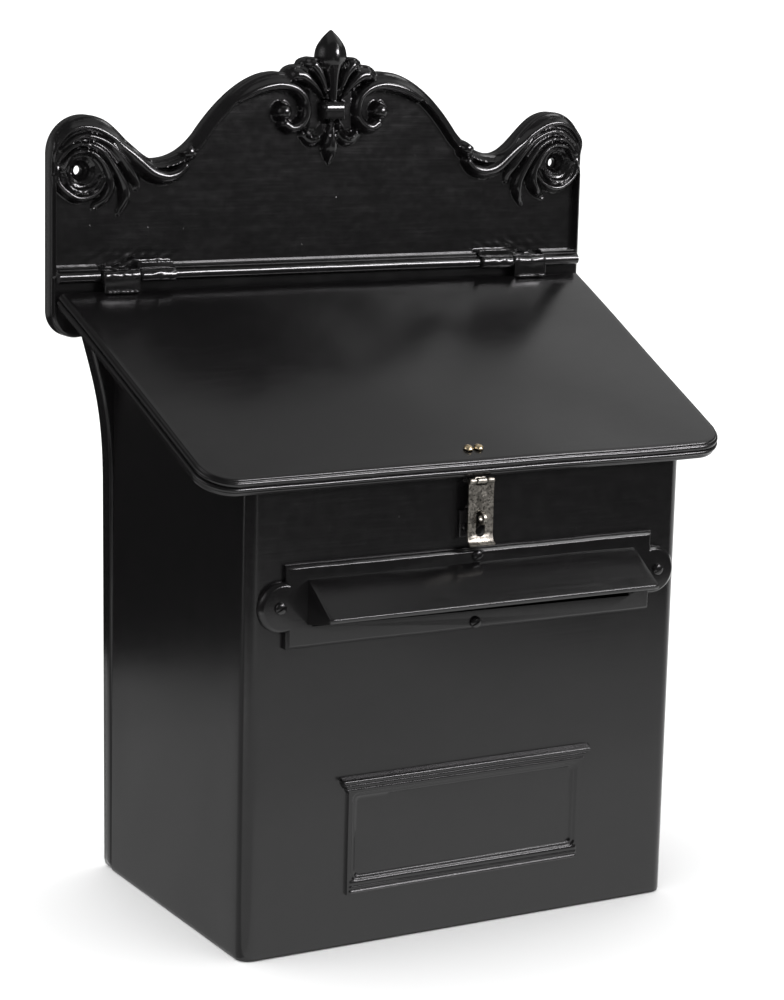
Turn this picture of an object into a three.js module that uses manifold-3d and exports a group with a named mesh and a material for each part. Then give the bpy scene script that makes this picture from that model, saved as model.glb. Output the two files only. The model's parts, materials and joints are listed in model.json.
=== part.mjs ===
// Wall-mounted cast letter box: ornate back plate, box shell, sloping hinged lid with a hasp,
// and a hooded letter plate screwed to the front. Millimetres, +Z up, front towards -Y.
// The origin is the middle of the object's box at the level of its flat bottom.
import * as THREE from 'three';
import { mergeVertices } from 'three/addons/utils/BufferGeometryUtils.js';
import Module from 'manifold-3d';

const wasm = await Module();
wasm.setup();

// ---- driving dimensions -------------------------------------------------------------------
const GAP = 0.3; // clearance between neighbouring pieces

const WALL_Y = 118; // plane of the wall, the flat rear face of the back plate
const BOX_HALF_WIDTH = 152.5;
const BOX_DEPTH = 202; // wall to front face
const FRONT_Y = WALL_Y - BOX_DEPTH;
const WALL = 5; // thickness of the box shell
const FRONT_CORNER_R = 9;

const PLATE_T = 12; // back plate rim
const PLATE_FRONT_Y = WALL_Y - PLATE_T;
const PLATE_HALF_WIDTH = 194.5;
const FIELD_DEPTH = 4.5; // the upper panel lies this far behind the rim
const FIELD_BOTTOM_Z = 399.5;
const EYE_X = 174.5; // fixing eyes
const EYE_Z = 454.7;
const EYE_HOLE_R = 3;

const BUD_Y = WALL_Y - 8; // axis of the bud on the crest

const HINGE_Y = WALL_Y - 16.6;
const HINGE_Z = 389.5;
const KNUCKLE_R = 4.2;
const HINGE_PIN_R = 1.7;
const KNUCKLE_INNER_X = 113; // inner end, joint and outer end of each pair of knuckles
const KNUCKLE_JOINT_X = 137.7;
const KNUCKLE_OUTER_X = 163;

const LID_REAR_Y = WALL_Y - 25; // rear edge of the lid's top face
const LID_REAR_Z = 377;
const LID_FRONT_Y = WALL_Y - 213;
const LID_FRONT_Z = 294.5;
const LID_SLOPE = (LID_REAR_Z - LID_FRONT_Z) / (LID_REAR_Y - LID_FRONT_Y);
const LID_TILT = Math.atan(LID_SLOPE);
const LID_LENGTH = Math.hypot(LID_REAR_Y - LID_FRONT_Y, LID_REAR_Z - LID_FRONT_Z);
const LID_REAR_HALF = 192;
const LID_FRONT_HALF = 183;
const LID_CORNER_R = 22;
const LID_T = 6; // plate of the lid
const LID_EDGE_T = 10.8; // beaded edge of the lid
const LID_LIP = 4;

const LETTER_Z = 215.7; // middle height of the letter plate
const LETTER_HALF_WIDTH = 128.5;
const LETTER_HALF_HEIGHT = 25.2;
const LETTER_T = 5;
const LETTER_FRONT_Y = FRONT_Y - GAP - LETTER_T;
const EAR_X = 130.5;
const EAR_R = 15.5;
const SLOT_HALF = 112;
const SLOT_BOTTOM_Z = 200;
const SLOT_TOP_Z = 229;
const HOOD_Y = -WALL_Y; // front of the hood, the foremost point of the object
const HOOD_WALL = 3;
const LETTER_SCREWS = {
  top: [0, LETTER_Z + 20.6],
  bottom: [0, LETTER_Z - 20.6],
  left: [-133, LETTER_Z + 0.5],
  right: [133, LETTER_Z + 0.5],
};

const HASP_Y = FRONT_Y - 7.2; // hanging plane and hinge line of the strap
const HASP_Z = 282.6;
const STRAP_HALF = 8.8;
const STRAP_T = 1.2;
const STRAP_BARREL_R = 2;
const STRAP_SLOT = { half: 3.2, bottom: 248.4, top: 264.6 };
const STAPLE_Z = 256;
const STAPLE_SCREW = [7.4, 254.2];
const RIVET_X = 3.6;
const RIVET_Y = WALL_Y - 199;

const BACK_SCREWS = [[-140, 16], [140, 16], [-140, 345], [140, 345]];
const SCREW_R = 2;
const HOLE_R = SCREW_R + GAP;

// ---- geometry helpers ---------------------------------------------------------------------
const X_AXIS = new THREE.Vector3(1, 0, 0);
const Y_AXIS = new THREE.Vector3(0, 1, 0);
const Z_AXIS = new THREE.Vector3(0, 0, 1);

function toSolid(geometry) {
  const bare = geometry.index ? geometry.toNonIndexed() : geometry.clone();
  bare.deleteAttribute('normal');
  bare.deleteAttribute('uv');
  const merged = mergeVertices(bare, 1e-4);
  const mesh = new wasm.Mesh({
    numProp: 3,
    vertProperties: new Float32Array(merged.attributes.position.array),
    triVerts: new Uint32Array(merged.index.array),
  });
  return new wasm.Manifold(mesh);
}

function toGeometry(solid) {
  const mesh = solid.getMesh();
  const geometry = new THREE.BufferGeometry();
  geometry.setAttribute('position', new THREE.BufferAttribute(mesh.vertProperties, 3));
  geometry.setIndex(new THREE.BufferAttribute(mesh.triVerts, 1));
  geometry.computeVertexNormals();
  return geometry;
}

const join = (...solids) => solids.reduce((all, next) => all.add(next));
const cut = (body, ...tools) => tools.reduce((rest, tool) => rest.subtract(tool), body);

// Extrusions of a shape drawn in one of the three planes, between two heights on the third axis.
function extruded(shape, depth, basis, start, segments) {
  const options = { depth, bevelEnabled: false, curveSegments: segments };
  const geometry = new THREE.ExtrudeGeometry(shape, options);
  geometry.applyMatrix4(new THREE.Matrix4().makeBasis(...basis));
  geometry.translate(start.x, start.y, start.z);
  return toSolid(geometry);
}

const alongY = (shape, y0, y1, segments = 8) =>
  extruded(shape, y1 - y0, [X_AXIS, Z_AXIS, Y_AXIS.clone().negate()], new THREE.Vector3(0, y1, 0), segments);
const alongZ = (shape, z0, z1, segments = 8) =>
  extruded(shape, z1 - z0, [X_AXIS, Y_AXIS, Z_AXIS], new THREE.Vector3(0, 0, z0), segments);
const alongX = (shape, x0, x1, segments = 8) =>
  extruded(shape, x1 - x0, [Y_AXIS, Z_AXIS, X_AXIS], new THREE.Vector3(x0, 0, 0), segments);

function polygon(...points) {
  return new THREE.Shape(points.map(([a, b]) => new THREE.Vector2(a, b)));
}

const rectangle = (a0, b0, a1, b1) => polygon([a0, b0], [a1, b0], [a1, b1], [a0, b1]);

function box(x0, y0, z0, x1, y1, z1) {
  return alongZ(rectangle(x0, y0, x1, y1), z0, z1);
}

// A turned piece: profile pairs are [radius, height]; the height axis points along `direction`.
function turned(profile, position, direction, sides = 16) {
  const points = profile.map(([radius, height]) => new THREE.Vector2(radius, height));
  const geometry = new THREE.LatheGeometry(points, sides);
  geometry.applyQuaternion(new THREE.Quaternion().setFromUnitVectors(Y_AXIS, direction));
  geometry.translate(...position);
  return toSolid(geometry);
}

const rod = (radius, length, position, direction, sides = 16) =>
  turned([[0, 0], [radius, 0], [radius, length], [0, length]], position, direction, sides);

const FORWARD = new THREE.Vector3(0, -1, 0);
const BACKWARD = new THREE.Vector3(0, 1, 0);
const LEFTWARD = new THREE.Vector3(-1, 0, 0);

// A round bead of constant radius along a curve.
function bead(curve, radius, steps) {
  const section = new THREE.Shape().absarc(0, 0, radius, 0, 2 * Math.PI);
  const options = { steps, extrudePath: curve, curveSegments: 4, bevelEnabled: false };
  return toSolid(new THREE.ExtrudeGeometry(section, options));
}

const mirrored = (solid) => solid.mirror([1, 0, 0]);
const bothSides = (solid) => solid.add(mirrored(solid));

// ---- back plate ---------------------------------------------------------------------------
// Right half of the outline, from the bottom centre to the crest, as one path.
function halfOutline() {
  const path = new THREE.Path();
  path.moveTo(0, 0);
  path.lineTo(BOX_HALF_WIDTH - 3, 0);
  path.absarc(BOX_HALF_WIDTH - 3, 3, 3, -Math.PI / 2, 0);
  path.lineTo(BOX_HALF_WIDTH + 2.4, 262);
  path.bezierCurveTo(BOX_HALF_WIDTH + 3.4, 305, 162, 322, 170, 351);
  path.absarc(PLATE_HALF_WIDTH - 16.5, 367.5, 16.5, -1.85, 0);
  path.lineTo(PLATE_HALF_WIDTH, 465);
  path.absarc(PLATE_HALF_WIDTH - 24, 465, 24, 0, 1.92);
  path.bezierCurveTo(148, 483.5, 138, 461.5, 124, 461.5);
  path.bezierCurveTo(110, 461.5, 101, 469.5, 95, 476.5);
  path.bezierCurveTo(85.5, 489.5, 67.5, 510.5, 46, 515);
  path.quadraticCurveTo(36, 517.5, 26, 515);
  path.quadraticCurveTo(22, 520, 17, 520);
  path.quadraticCurveTo(13, 523, 9, 523);
  path.lineTo(0, 523.5);
  return path.getPoints(7);
}

function outlineShape(half) {
  const left = half.slice(1, -1).reverse().map((p) => new THREE.Vector2(-p.x, p.y));
  return new THREE.Shape([...half, ...left]);
}

// The pocket in front of the upper panel: inside the raised border, above the hinge rail.
function fieldPocket() {
  const border = 7;
  const edge = PLATE_HALF_WIDTH - border;
  const shape = new THREE.Shape();
  shape.moveTo(-edge, FIELD_BOTTOM_Z);
  shape.lineTo(edge, FIELD_BOTTOM_Z);
  shape.lineTo(edge, 432);
  shape.bezierCurveTo(160, 425, 150, 430, 138, 452);
  shape.quadraticCurveTo(128, 452, 118, 452);
  shape.bezierCurveTo(104, 455, 90, 472, 84, 478);
  shape.bezierCurveTo(70, 494, 60, 503, 44, 505);
  shape.lineTo(-44, 505);
  shape.bezierCurveTo(-60, 503, -70, 494, -84, 478);
  shape.bezierCurveTo(-90, 472, -104, 455, -118, 452);
  shape.quadraticCurveTo(-128, 452, -138, 452);
  shape.bezierCurveTo(-150, 430, -160, 425, -edge, 432);
  return alongY(shape, PLATE_FRONT_Y - 1, PLATE_FRONT_Y + FIELD_DEPTH, 5);
}

// Roll moulding of one side: from the valley up along the arch and into the volute by the crest.
function archRoll() {
  const y = PLATE_FRONT_Y + 1;
  const points = [[106, 466], [94, 473], [80, 486], [64, 499], [47, 507]];
  const turns = 9;
  for (let i = 0; i <= turns; i += 1) {
    const angle = Math.PI * (0.55 + (1.45 * i) / turns);
    const radius = 16 - (8 * i) / turns;
    points.push([32 + radius * Math.cos(angle), 491 + radius * Math.sin(angle)]);
  }
  const curve = new THREE.CatmullRomCurve3(points.map(([x, z]) => new THREE.Vector3(x, y, z)));
  const ball = rod(5.4, 6, [35.5, PLATE_FRONT_Y + 2, 488], FORWARD, 12);
  return join(bead(curve, 4, 24), ball);
}

// Scroll of one ear: a ridge over the eye that ends in a leaf tail, and the roll to the valley ball.
function earScroll() {
  const y = PLATE_FRONT_Y;
  const ridge = [];
  for (let i = 0; i <= 8; i += 1) {
    const angle = Math.PI * (0.02 + (1.05 * i) / 8);
    const radius = 24 - (2 * i) / 8;
    const x = EYE_X - 6 + radius * 0.82 * Math.cos(angle);
    ridge.push(new THREE.Vector3(x, y, EYE_Z + 2 + radius * Math.sin(angle)));
  }
  ridge.push(new THREE.Vector3(147, y, 437), new THREE.Vector3(146, y, 426));
  const roll = [[150, 468], [138, 462], [128, 455], [117, 453], [107, 457], [103, 464]];
  const rollCurve = new THREE.CatmullRomCurve3(roll.map(([x, z]) => new THREE.Vector3(x, y, z)));
  const ball = rod(4.6, 6, [102, PLATE_FRONT_Y + 2, 465], FORWARD, 12);
  return join(bead(new THREE.CatmullRomCurve3(ridge), 2.6, 14), bead(rollCurve, 3.2, 8), ball);
}

function crestRelief() {
  const y = PLATE_FRONT_Y - 1;
  const budProfile = [[0, -13], [7, -9], [10.2, -3], [9.6, 4], [5.4, 11.5], [0, 16.7]];
  const bud = turned(budProfile, [0, 0, 0], Z_AXIS, 12).scale([1, 0.9, 1]).translate([0, BUD_Y, 525.8]);
  const collar = box(-8, y - 4, 484.5, 8, PLATE_FRONT_Y + 5, 497);
  const drop = turned([[0, -14], [5, -8], [7, 0], [5, 14], [0, 26]],
    [0, 0, 0], Z_AXIS, 10).scale([1, 0.6, 1]).translate([0, PLATE_FRONT_Y + 2, 471]);
  const petal = turned([[0, -14], [4.5, -8], [5.5, 2], [4, 9], [0, 12]], [0, 0, 0], Z_AXIS, 10);
  const placed = petal.rotate([0, 28, 0]).translate([13, PLATE_FRONT_Y + 1, 508]);
  return join(bud, collar, drop, bothSides(placed));
}

function eyeBoss() {
  return rod(13.5, 8, [EYE_X, PLATE_FRONT_Y + 3, EYE_Z], FORWARD, 24);
}

function eyeHole() {
  const profile = [[0, 0], [EYE_HOLE_R, 0], [EYE_HOLE_R, 14], [9, 17.5], [9, 30], [0, 30]];
  return turned(profile, [EYE_X, WALL_Y + 1, EYE_Z], FORWARD, 20);
}

// Half-round bead that closes the hinge line between and beside the knuckles.
function hingeBead() {
  const radius = 3.6;
  const y = PLATE_FRONT_Y - 2.2;
  const inner = KNUCKLE_INNER_X - GAP;
  const middle = rod(radius, 2 * inner, [inner, y, HINGE_Z], LEFTWARD, 12);
  const outerLength = PLATE_HALF_WIDTH - 3 - KNUCKLE_OUTER_X - GAP;
  const outer = rod(radius, outerLength, [PLATE_HALF_WIDTH - 3, y, HINGE_Z], LEFTWARD, 12);
  return join(middle, bothSides(outer));
}

function backPlate() {
  const slab = alongY(outlineShape(halfOutline()), PLATE_FRONT_Y, WALL_Y);
  const boxPocket = box(-130, PLATE_FRONT_Y - 1, 24, 130, PLATE_FRONT_Y + 6, 340);
  const panel = cut(slab, fieldPocket(), boxPocket);
  const sides = join(archRoll(), earScroll(), eyeBoss());
  const relief = join(bothSides(sides), crestRelief());
  const behindWall = box(-200, WALL_Y, 300, 200, WALL_Y + 40, 560);
  const holes = BACK_SCREWS.map(([x, z]) => backScrewHole(x, z));
  return cut(join(panel, relief, hingeBead()), bothSides(eyeHole()), behindWall, ...holes);
}

// ---- box shell ----------------------------------------------------------------------------
const lidTopZ = (y) => LID_REAR_Z + (y - LID_REAR_Y) * LID_SLOPE;
const lidDropZ = (y, depth) => lidTopZ(y) - depth / Math.cos(LID_TILT);

function planOutline(margin) {
  const half = BOX_HALF_WIDTH - margin;
  const radius = FRONT_CORNER_R - margin;
  const front = FRONT_Y + margin;
  const rear = PLATE_FRONT_Y - GAP;
  const shape = new THREE.Shape();
  shape.moveTo(half, rear);
  shape.lineTo(-half, rear);
  shape.absarc(-half + radius, front + radius, radius, Math.PI, 1.5 * Math.PI);
  shape.absarc(half - radius, front + radius, radius, 1.5 * Math.PI, 2 * Math.PI);
  return shape;
}

function backScrewHole(x, z) {
  const profile = [[0, -1], [4.6, -1], [4.6, 0.4], [HOLE_R, 3], [HOLE_R, 30], [0, 30]];
  return turned(profile, [x, WALL_Y, z], FORWARD, 12);
}

function screwBoss(x, z) {
  const inner = Math.sign(x) * (BOX_HALF_WIDTH - 19);
  const outer = Math.sign(x) * (BOX_HALF_WIDTH - WALL + 1);
  const rear = PLATE_FRONT_Y - GAP;
  return box(Math.min(inner, outer), rear - 20, z - 7, Math.max(inner, outer), rear, z + 7);
}

// Name frame: stepped cornice on top, stepped sill below, flat rails at the sides.
function nameFrame() {
  const back = FRONT_Y + 1;
  const field = box(-79, FRONT_Y - 5, 40, 79, back + 1, 96);
  const rails = cut(box(-84, FRONT_Y - 2.4, 34, 84, back, 101), field);
  const cornice = polygon([back, 97], [FRONT_Y - 3, 97], [FRONT_Y - 3, 99.4], [FRONT_Y - 4.4, 99.4],
    [FRONT_Y - 4.4, 102], [FRONT_Y - 6, 102.6], [FRONT_Y - 6, 105.4], [FRONT_Y - 4.6, 106.6], [back, 106.6]);
  const sill = polygon([back, 33], [FRONT_Y - 3.4, 33], [FRONT_Y - 3.4, 35.2], [FRONT_Y - 2.8, 36.2],
    [FRONT_Y - 3.4, 37.2], [FRONT_Y - 3.4, 39], [FRONT_Y - 1.6, 42.4], [back, 42.4]);
  return join(rails, alongX(cornice, -89, 89), alongX(sill, -84, 84));
}

function boxShell() {
  const drop = LID_T + GAP;
  const rear = PLATE_FRONT_Y - GAP;
  const profile = polygon([FRONT_Y - 1, -1], [rear + 1, -1], [rear + 1, lidDropZ(rear + 1, drop)],
    [FRONT_Y - 1, lidDropZ(FRONT_Y - 1, drop)]);
  const underLid = alongX(profile, -200, 200);
  const outer = alongZ(planOutline(0), 0, 400).intersect(underLid);
  const hollow = alongZ(planOutline(WALL), WALL, 401);
  const openRear = box(-BOX_HALF_WIDTH + WALL, rear - 1, WALL, BOX_HALF_WIDTH - WALL, rear + 5, 401);
  const rail = box(-BOX_HALF_WIDTH + 1, rear - 16, 356, BOX_HALF_WIDTH - 1, rear, 400).intersect(underLid);
  const bosses = BACK_SCREWS.map(([x, z]) => screwBoss(x, z));
  const walls = join(cut(outer, hollow, openRear), rail, nameFrame(), ...bosses);

  const slotCut = box(-114, FRONT_Y - 1, 199.4, 114, FRONT_Y + WALL + 1, 230.2);
  const haspNotch = box(-14, FRONT_Y - 1, 285, 14, FRONT_Y + WALL + 1, 300);
  const through = (x, z, radius) => rod(radius, WALL + 2, [x, FRONT_Y - 1, z], BACKWARD, 12);
  const plateHoles = Object.values(LETTER_SCREWS).map(([x, z]) => through(x, z, HOLE_R));
  const stapleHole = through(0, STAPLE_Z, HOLE_R);
  const stapleScrewHoles = bothSides(through(...STAPLE_SCREW, 1.6));
  const backHoles = BACK_SCREWS.map(([x, z]) => backScrewHole(x, z));
  return cut(walls, slotCut, haspNotch, stapleHole, stapleScrewHoles, ...plateHoles, ...backHoles);
}

// ---- lid ----------------------------------------------------------------------------------
// Drawn flat: the top face is z = 0, the rear edge y = 0 and the front edge y = -LID_LENGTH.
function lidOutline(margin, rearExtra = 0) {
  const rear = LID_REAR_HALF - margin;
  const front = LID_FRONT_HALF - margin;
  const radius = Math.max(LID_CORNER_R - margin, 2);
  const frontY = -LID_LENGTH + margin;
  const lean = Math.atan2(LID_REAR_HALF - LID_FRONT_HALF, LID_LENGTH);
  const shape = new THREE.Shape();
  shape.moveTo(rear, rearExtra);
  shape.lineTo(-rear, rearExtra);
  shape.absarc(-front + radius, frontY + radius, radius, Math.PI + lean, 1.5 * Math.PI);
  shape.absarc(front - radius, frontY + radius, radius, 1.5 * Math.PI, 2 * Math.PI - lean);
  return shape;
}

function tiltOntoBox(solid) {
  return solid.rotate([(LID_TILT * 180) / Math.PI, 0, 0]).translate([0, LID_REAR_Y, LID_REAR_Z]);
}

// The beaded edge: slices of the outline, each with its own margin, stacked from the top down.
function flatLid() {
  const slices = [
    [0, -1.6, 2.4], [-1.6, -4.6, 0.8], [-4.6, -5.2, 1.7], [-5.2, -8.2, 0], [-8.2, -LID_EDGE_T, 1.2],
  ];
  const slabs = slices.map(([top, bottom, margin]) => alongZ(lidOutline(margin), bottom, top, 5));
  const underside = alongZ(lidOutline(LID_LIP + 1.2, 10), -LID_EDGE_T - 1, -LID_T, 5);
  const pad = box(-12, -LID_LENGTH + 3, -LID_EDGE_T, 12, -LID_LENGTH + 22, -LID_T + 1);
  return join(cut(join(...slabs), underside), pad);
}

// Rivets stand square to the lid; `reach` is the distance from the rear edge along the slope.
const RIVET_REACH = (LID_REAR_Y - RIVET_Y) / Math.cos(LID_TILT);

function lidRivet(x, clearance, profile) {
  const grown = profile.map(([radius, height]) => [radius + (radius > 0 ? clearance : 0), height]);
  return tiltOntoBox(turned(grown, [x, -RIVET_REACH, 0], Z_AXIS, 12));
}

function rivetHoles() {
  const hole = [[0, -20], [1.2, -20], [1.2, 5], [0, 5]];
  return [-RIVET_X, RIVET_X].map((x) => lidRivet(x, GAP, hole));
}

const lid = () => cut(tiltOntoBox(flatLid()), ...rivetHoles());

// ---- hinges -------------------------------------------------------------------------------
const hingeBore = () => rod(HINGE_PIN_R + GAP, 400, [200, HINGE_Y, HINGE_Z], LEFTWARD, 12);

function plateKnuckle() {
  const x0 = KNUCKLE_INNER_X;
  const x1 = KNUCKLE_JOINT_X - GAP / 2;
  const barrel = rod(KNUCKLE_R, x1 - x0, [x1, HINGE_Y, HINGE_Z], LEFTWARD, 16);
  const rear = PLATE_FRONT_Y - GAP;
  const leaf = box(x0, rear - 2.2, HINGE_Z, x1, rear, FIELD_BOTTOM_Z);
  return cut(join(barrel, leaf), hingeBore());
}

function lidKnuckle() {
  const x0 = KNUCKLE_JOINT_X + GAP / 2;
  const x1 = KNUCKLE_OUTER_X;
  const barrel = rod(KNUCKLE_R, x1 - x0, [x1, HINGE_Y, HINGE_Z], LEFTWARD, 16);
  const foot = (y) => [y, lidTopZ(y) + GAP];
  const apron = polygon(
    [HINGE_Y - KNUCKLE_R + 0.1, HINGE_Z],
    foot(LID_REAR_Y - 3.2),
    foot(LID_REAR_Y - 0.1),
    [HINGE_Y - 1, HINGE_Z - KNUCKLE_R + 0.2],
    [HINGE_Y, HINGE_Z],
  );
  return cut(join(barrel, alongX(apron, x0, x1)), hingeBore());
}

function hingePin() {
  const length = KNUCKLE_OUTER_X - KNUCKLE_INNER_X - 1;
  return rod(HINGE_PIN_R, length, [KNUCKLE_OUTER_X - 0.5, HINGE_Y, HINGE_Z], LEFTWARD, 12);
}

// ---- hasp and staple ----------------------------------------------------------------------
const haspBore = () => rod(0.9 + GAP, 40, [20, HASP_Y, HASP_Z], LEFTWARD, 10);
const TONGUE_HALF = 3.6;

function haspLeaf() {
  const top = LID_EDGE_T + GAP;
  const reach = LID_LENGTH - 20.5;
  const flat = box(-STRAP_HALF, -reach - 16.2, -top - STRAP_T, STRAP_HALF, -reach, -top);
  const barrel = rod(STRAP_BARREL_R, 2 * TONGUE_HALF, [TONGUE_HALF, HASP_Y, HASP_Z], LEFTWARD, 12);
  const y = HASP_Y + 4.6;
  const tongue = polygon(
    [HASP_Y, HASP_Z + 0.4],
    [HASP_Y + 1.6, HASP_Z - 1],
    [y + 1, lidDropZ(y + 1, top + STRAP_T)],
    [y + 1, lidDropZ(y + 1, top + 0.2)],
    [y, lidDropZ(y, top + 0.2)],
    [HASP_Y + 1.7, HASP_Z + 1.9],
    [HASP_Y, HASP_Z + 1.9],
  );
  const leaf = join(tiltOntoBox(flat), barrel, alongX(tongue, -TONGUE_HALF, TONGUE_HALF));
  return cut(leaf, haspBore(), ...rivetHoles());
}

function haspStrap() {
  const front = HASP_Y - STRAP_T / 2;
  const back = HASP_Y + STRAP_T / 2;
  const lip = [[front - 4, 243.8], [front - 3.2, 243]];
  const side = polygon([front, HASP_Z], [front, 248], ...lip, [back, 247.5], [back, HASP_Z]);
  const barrel = rod(STRAP_BARREL_R, 2 * STRAP_HALF, [STRAP_HALF, HASP_Y, HASP_Z], LEFTWARD, 12);
  const inner = TONGUE_HALF + GAP;
  const window = box(-inner, HASP_Y - 5, HASP_Z - 2.6, inner, HASP_Y + 5, HASP_Z + 5);
  const { half, bottom, top } = STRAP_SLOT;
  const slot = box(-half, HASP_Y - 5, bottom, half, HASP_Y + 5, top);
  return cut(join(alongX(side, -STRAP_HALF, STRAP_HALF), barrel), window, slot, haspBore());
}

function haspPin() {
  return rod(0.9, 2 * STRAP_HALF - 0.6, [STRAP_HALF - 0.3, HASP_Y, HASP_Z], LEFTWARD, 10);
}

// Domed head on the lid, shank through lid and leaf, and the closed end under the leaf.
function haspRivet(x) {
  const tail = -LID_EDGE_T - 2 * GAP - STRAP_T;
  const dome = [[3, GAP], [2.7, 1.2], [1.6, 1.9], [0, 2.1]];
  const profile = [[0, tail - 1], [2, tail - 1], [2, tail], [1.2, tail], [1.2, GAP], ...dome];
  return lidRivet(x, 0, profile);
}

function staplePlate() {
  const plate = box(-11, FRONT_Y - GAP - 1.5, 247.4, 11, FRONT_Y - GAP, 264.2);
  const screwHoles = bothSides(rod(1.6, 9, [STAPLE_SCREW[0], FRONT_Y - 5, STAPLE_SCREW[1]], BACKWARD, 12));
  return cut(plate, screwHoles, rod(HOLE_R, 9, [0, FRONT_Y - 5, STAPLE_Z], BACKWARD, 12));
}

// Padlock eye: a flat lug that leans up as it comes out, on a round shank with a thread for a nut.
function staple() {
  const base = FRONT_Y - 2 * GAP - 1.5;
  const eye = [FRONT_Y - 9.7, 260];
  const eyeR = 4;
  const lug = new THREE.Shape();
  lug.moveTo(base, 252.2);
  lug.lineTo(base, 263.6);
  lug.absarc(eye[0], eye[1], eyeR, Math.PI / 2, Math.PI * 1.64);
  const padlockHole = alongX(new THREE.Shape().absarc(...eye, 2.1, 0, 2 * Math.PI), -5, 5);
  const shank = rod(SCREW_R, WALL + 9, [0, base - 1, STAPLE_Z], BACKWARD, 12);
  return join(cut(alongX(lug, -1.3, 1.3), padlockHole), shank);
}

// ---- letter plate -------------------------------------------------------------------------
function letterOutline(margin) {
  const half = LETTER_HALF_WIDTH - margin;
  const height = LETTER_HALF_HEIGHT - margin;
  const earR = EAR_R - margin;
  const side = Math.acos((LETTER_HALF_WIDTH - EAR_X - margin) / earR);
  const lift = earR * Math.sin(side);
  const shape = new THREE.Shape();
  shape.moveTo(-half, LETTER_Z - height);
  shape.lineTo(half, LETTER_Z - height);
  shape.lineTo(half, LETTER_Z - lift);
  shape.absarc(EAR_X, LETTER_Z, earR, -side, side);
  shape.lineTo(half, LETTER_Z + height);
  shape.lineTo(-half, LETTER_Z + height);
  shape.lineTo(-half, LETTER_Z + lift);
  shape.absarc(-EAR_X, LETTER_Z, earR, Math.PI - side, Math.PI + side);
  return shape;
}

// Hood over the slot: a sloping roof between two cheeks, open underneath.
function hood() {
  const root = LETTER_FRONT_Y + 1;
  const outside = polygon([root, 204], [HOOD_Y + 0.6, 211.2], [HOOD_Y, 213], [root, 232]);
  const face = LETTER_FRONT_Y - 0.01;
  const inside = polygon(
    [FRONT_Y + 1, SLOT_BOTTOM_Z],
    [FRONT_Y + 1, SLOT_TOP_Z],
    [LETTER_FRONT_Y, SLOT_TOP_Z],
    [HOOD_Y + 2.6, 210.6],
    [HOOD_Y + 2.6, 190],
    [face, 190],
    [face, SLOT_BOTTOM_Z],
  );
  const outer = alongX(outside, -SLOT_HALF - HOOD_WALL, SLOT_HALF + HOOD_WALL);
  return { outer, inner: alongX(inside, -SLOT_HALF, SLOT_HALF) };
}

function letterPlate() {
  const bevel = 1.8;
  const lower = alongY(letterOutline(0), LETTER_FRONT_Y + bevel, FRONT_Y - GAP);
  const upper = alongY(letterOutline(bevel), LETTER_FRONT_Y, LETTER_FRONT_Y + bevel);
  const { outer, inner } = hood();
  const screwHole = ([x, z]) => rod(HOLE_R, 12, [x, FRONT_Y - 9, z], BACKWARD, 12);
  const holes = Object.values(LETTER_SCREWS).map(screwHole);
  return cut(join(lower, upper, outer), inner, ...holes);
}

// Slotted machine screw from the plate's face through the wall; its head keeps a gap to the plate.
function plateScrew([x, z]) {
  const seat = LETTER_FRONT_Y - GAP;
  const tip = FRONT_Y + WALL + 6 - seat;
  const profile = [[0, -2.3], [2.4, -2.1], [3.7, -1.1], [3.7, 0], [SCREW_R, 0], [SCREW_R, tip], [0, tip]];
  const driverSlot = box(-5, seat - 4, -0.5, 5, seat - 1.1, 0.5).rotate([0, 30, 0]).translate([x, 0, z]);
  return cut(turned(profile, [x, seat, z], BACKWARD, 16), driverSlot);
}

function hexNut(x, z) {
  const hexagon = new THREE.Shape().absarc(x, z, 4.04, 0, 2 * Math.PI);
  const rear = FRONT_Y + WALL + GAP;
  return cut(alongY(hexagon, rear, rear + 3.2, 3), rod(HOLE_R, 10, [x, rear - 3, z], BACKWARD, 12));
}

// ---- small screws -------------------------------------------------------------------------
function stapleScrew(x, z) {
  const seat = FRONT_Y - 2 * GAP - 1.5;
  const profile = [[0, -1.5], [1.6, -1.3], [2.5, -0.5], [2.5, 0], [1.3, 0], [1.3, 7], [0, 7.6]];
  const driverSlot = box(-4, seat - 3, -0.35, 4, seat - 0.8, 0.35).rotate([0, -35, 0]).translate([x, 0, z]);
  return cut(turned(profile, [x, seat, z], BACKWARD, 12), driverSlot);
}

function backScrew(x, z) {
  const profile = [[0, 0.3], [4.2, 0.3], [4.2, 0.6], [SCREW_R, 3], [SCREW_R, 28], [0, 28]];
  const driverSlot = box(-5, WALL_Y - 1.6, z - 0.5, 5, WALL_Y + 1, z + 0.5).translate([x, 0, 0]);
  return cut(turned(profile, [x, WALL_Y, z], FORWARD, 12), driverSlot);
}

// ---- assembly -----------------------------------------------------------------------------
const paint = { color: 0x2a292b, roughness: 0.32, metalness: 0.2 };
const finishes = {
  black_paint: paint,
  black_fastener: { color: 0x232224, roughness: 0.35, metalness: 0.5 },
  bare_steel: { color: 0x8f8d88, roughness: 0.35, metalness: 1 },
  zinc_steel: { color: 0xb0b0ac, roughness: 0.4, metalness: 1 },
  brass: { color: 0xb9a578, roughness: 0.28, metalness: 1 },
};

const letterBox = new THREE.Group();

function add(name, finish, solid) {
  const mesh = new THREE.Mesh(toGeometry(solid), new THREE.MeshStandardMaterial(finishes[finish]));
  mesh.name = name;
  letterBox.add(mesh);
}

add('back_plate', 'black_paint', backPlate());
add('box_shell', 'black_paint', boxShell());
add('lid', 'black_paint', lid());

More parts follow.
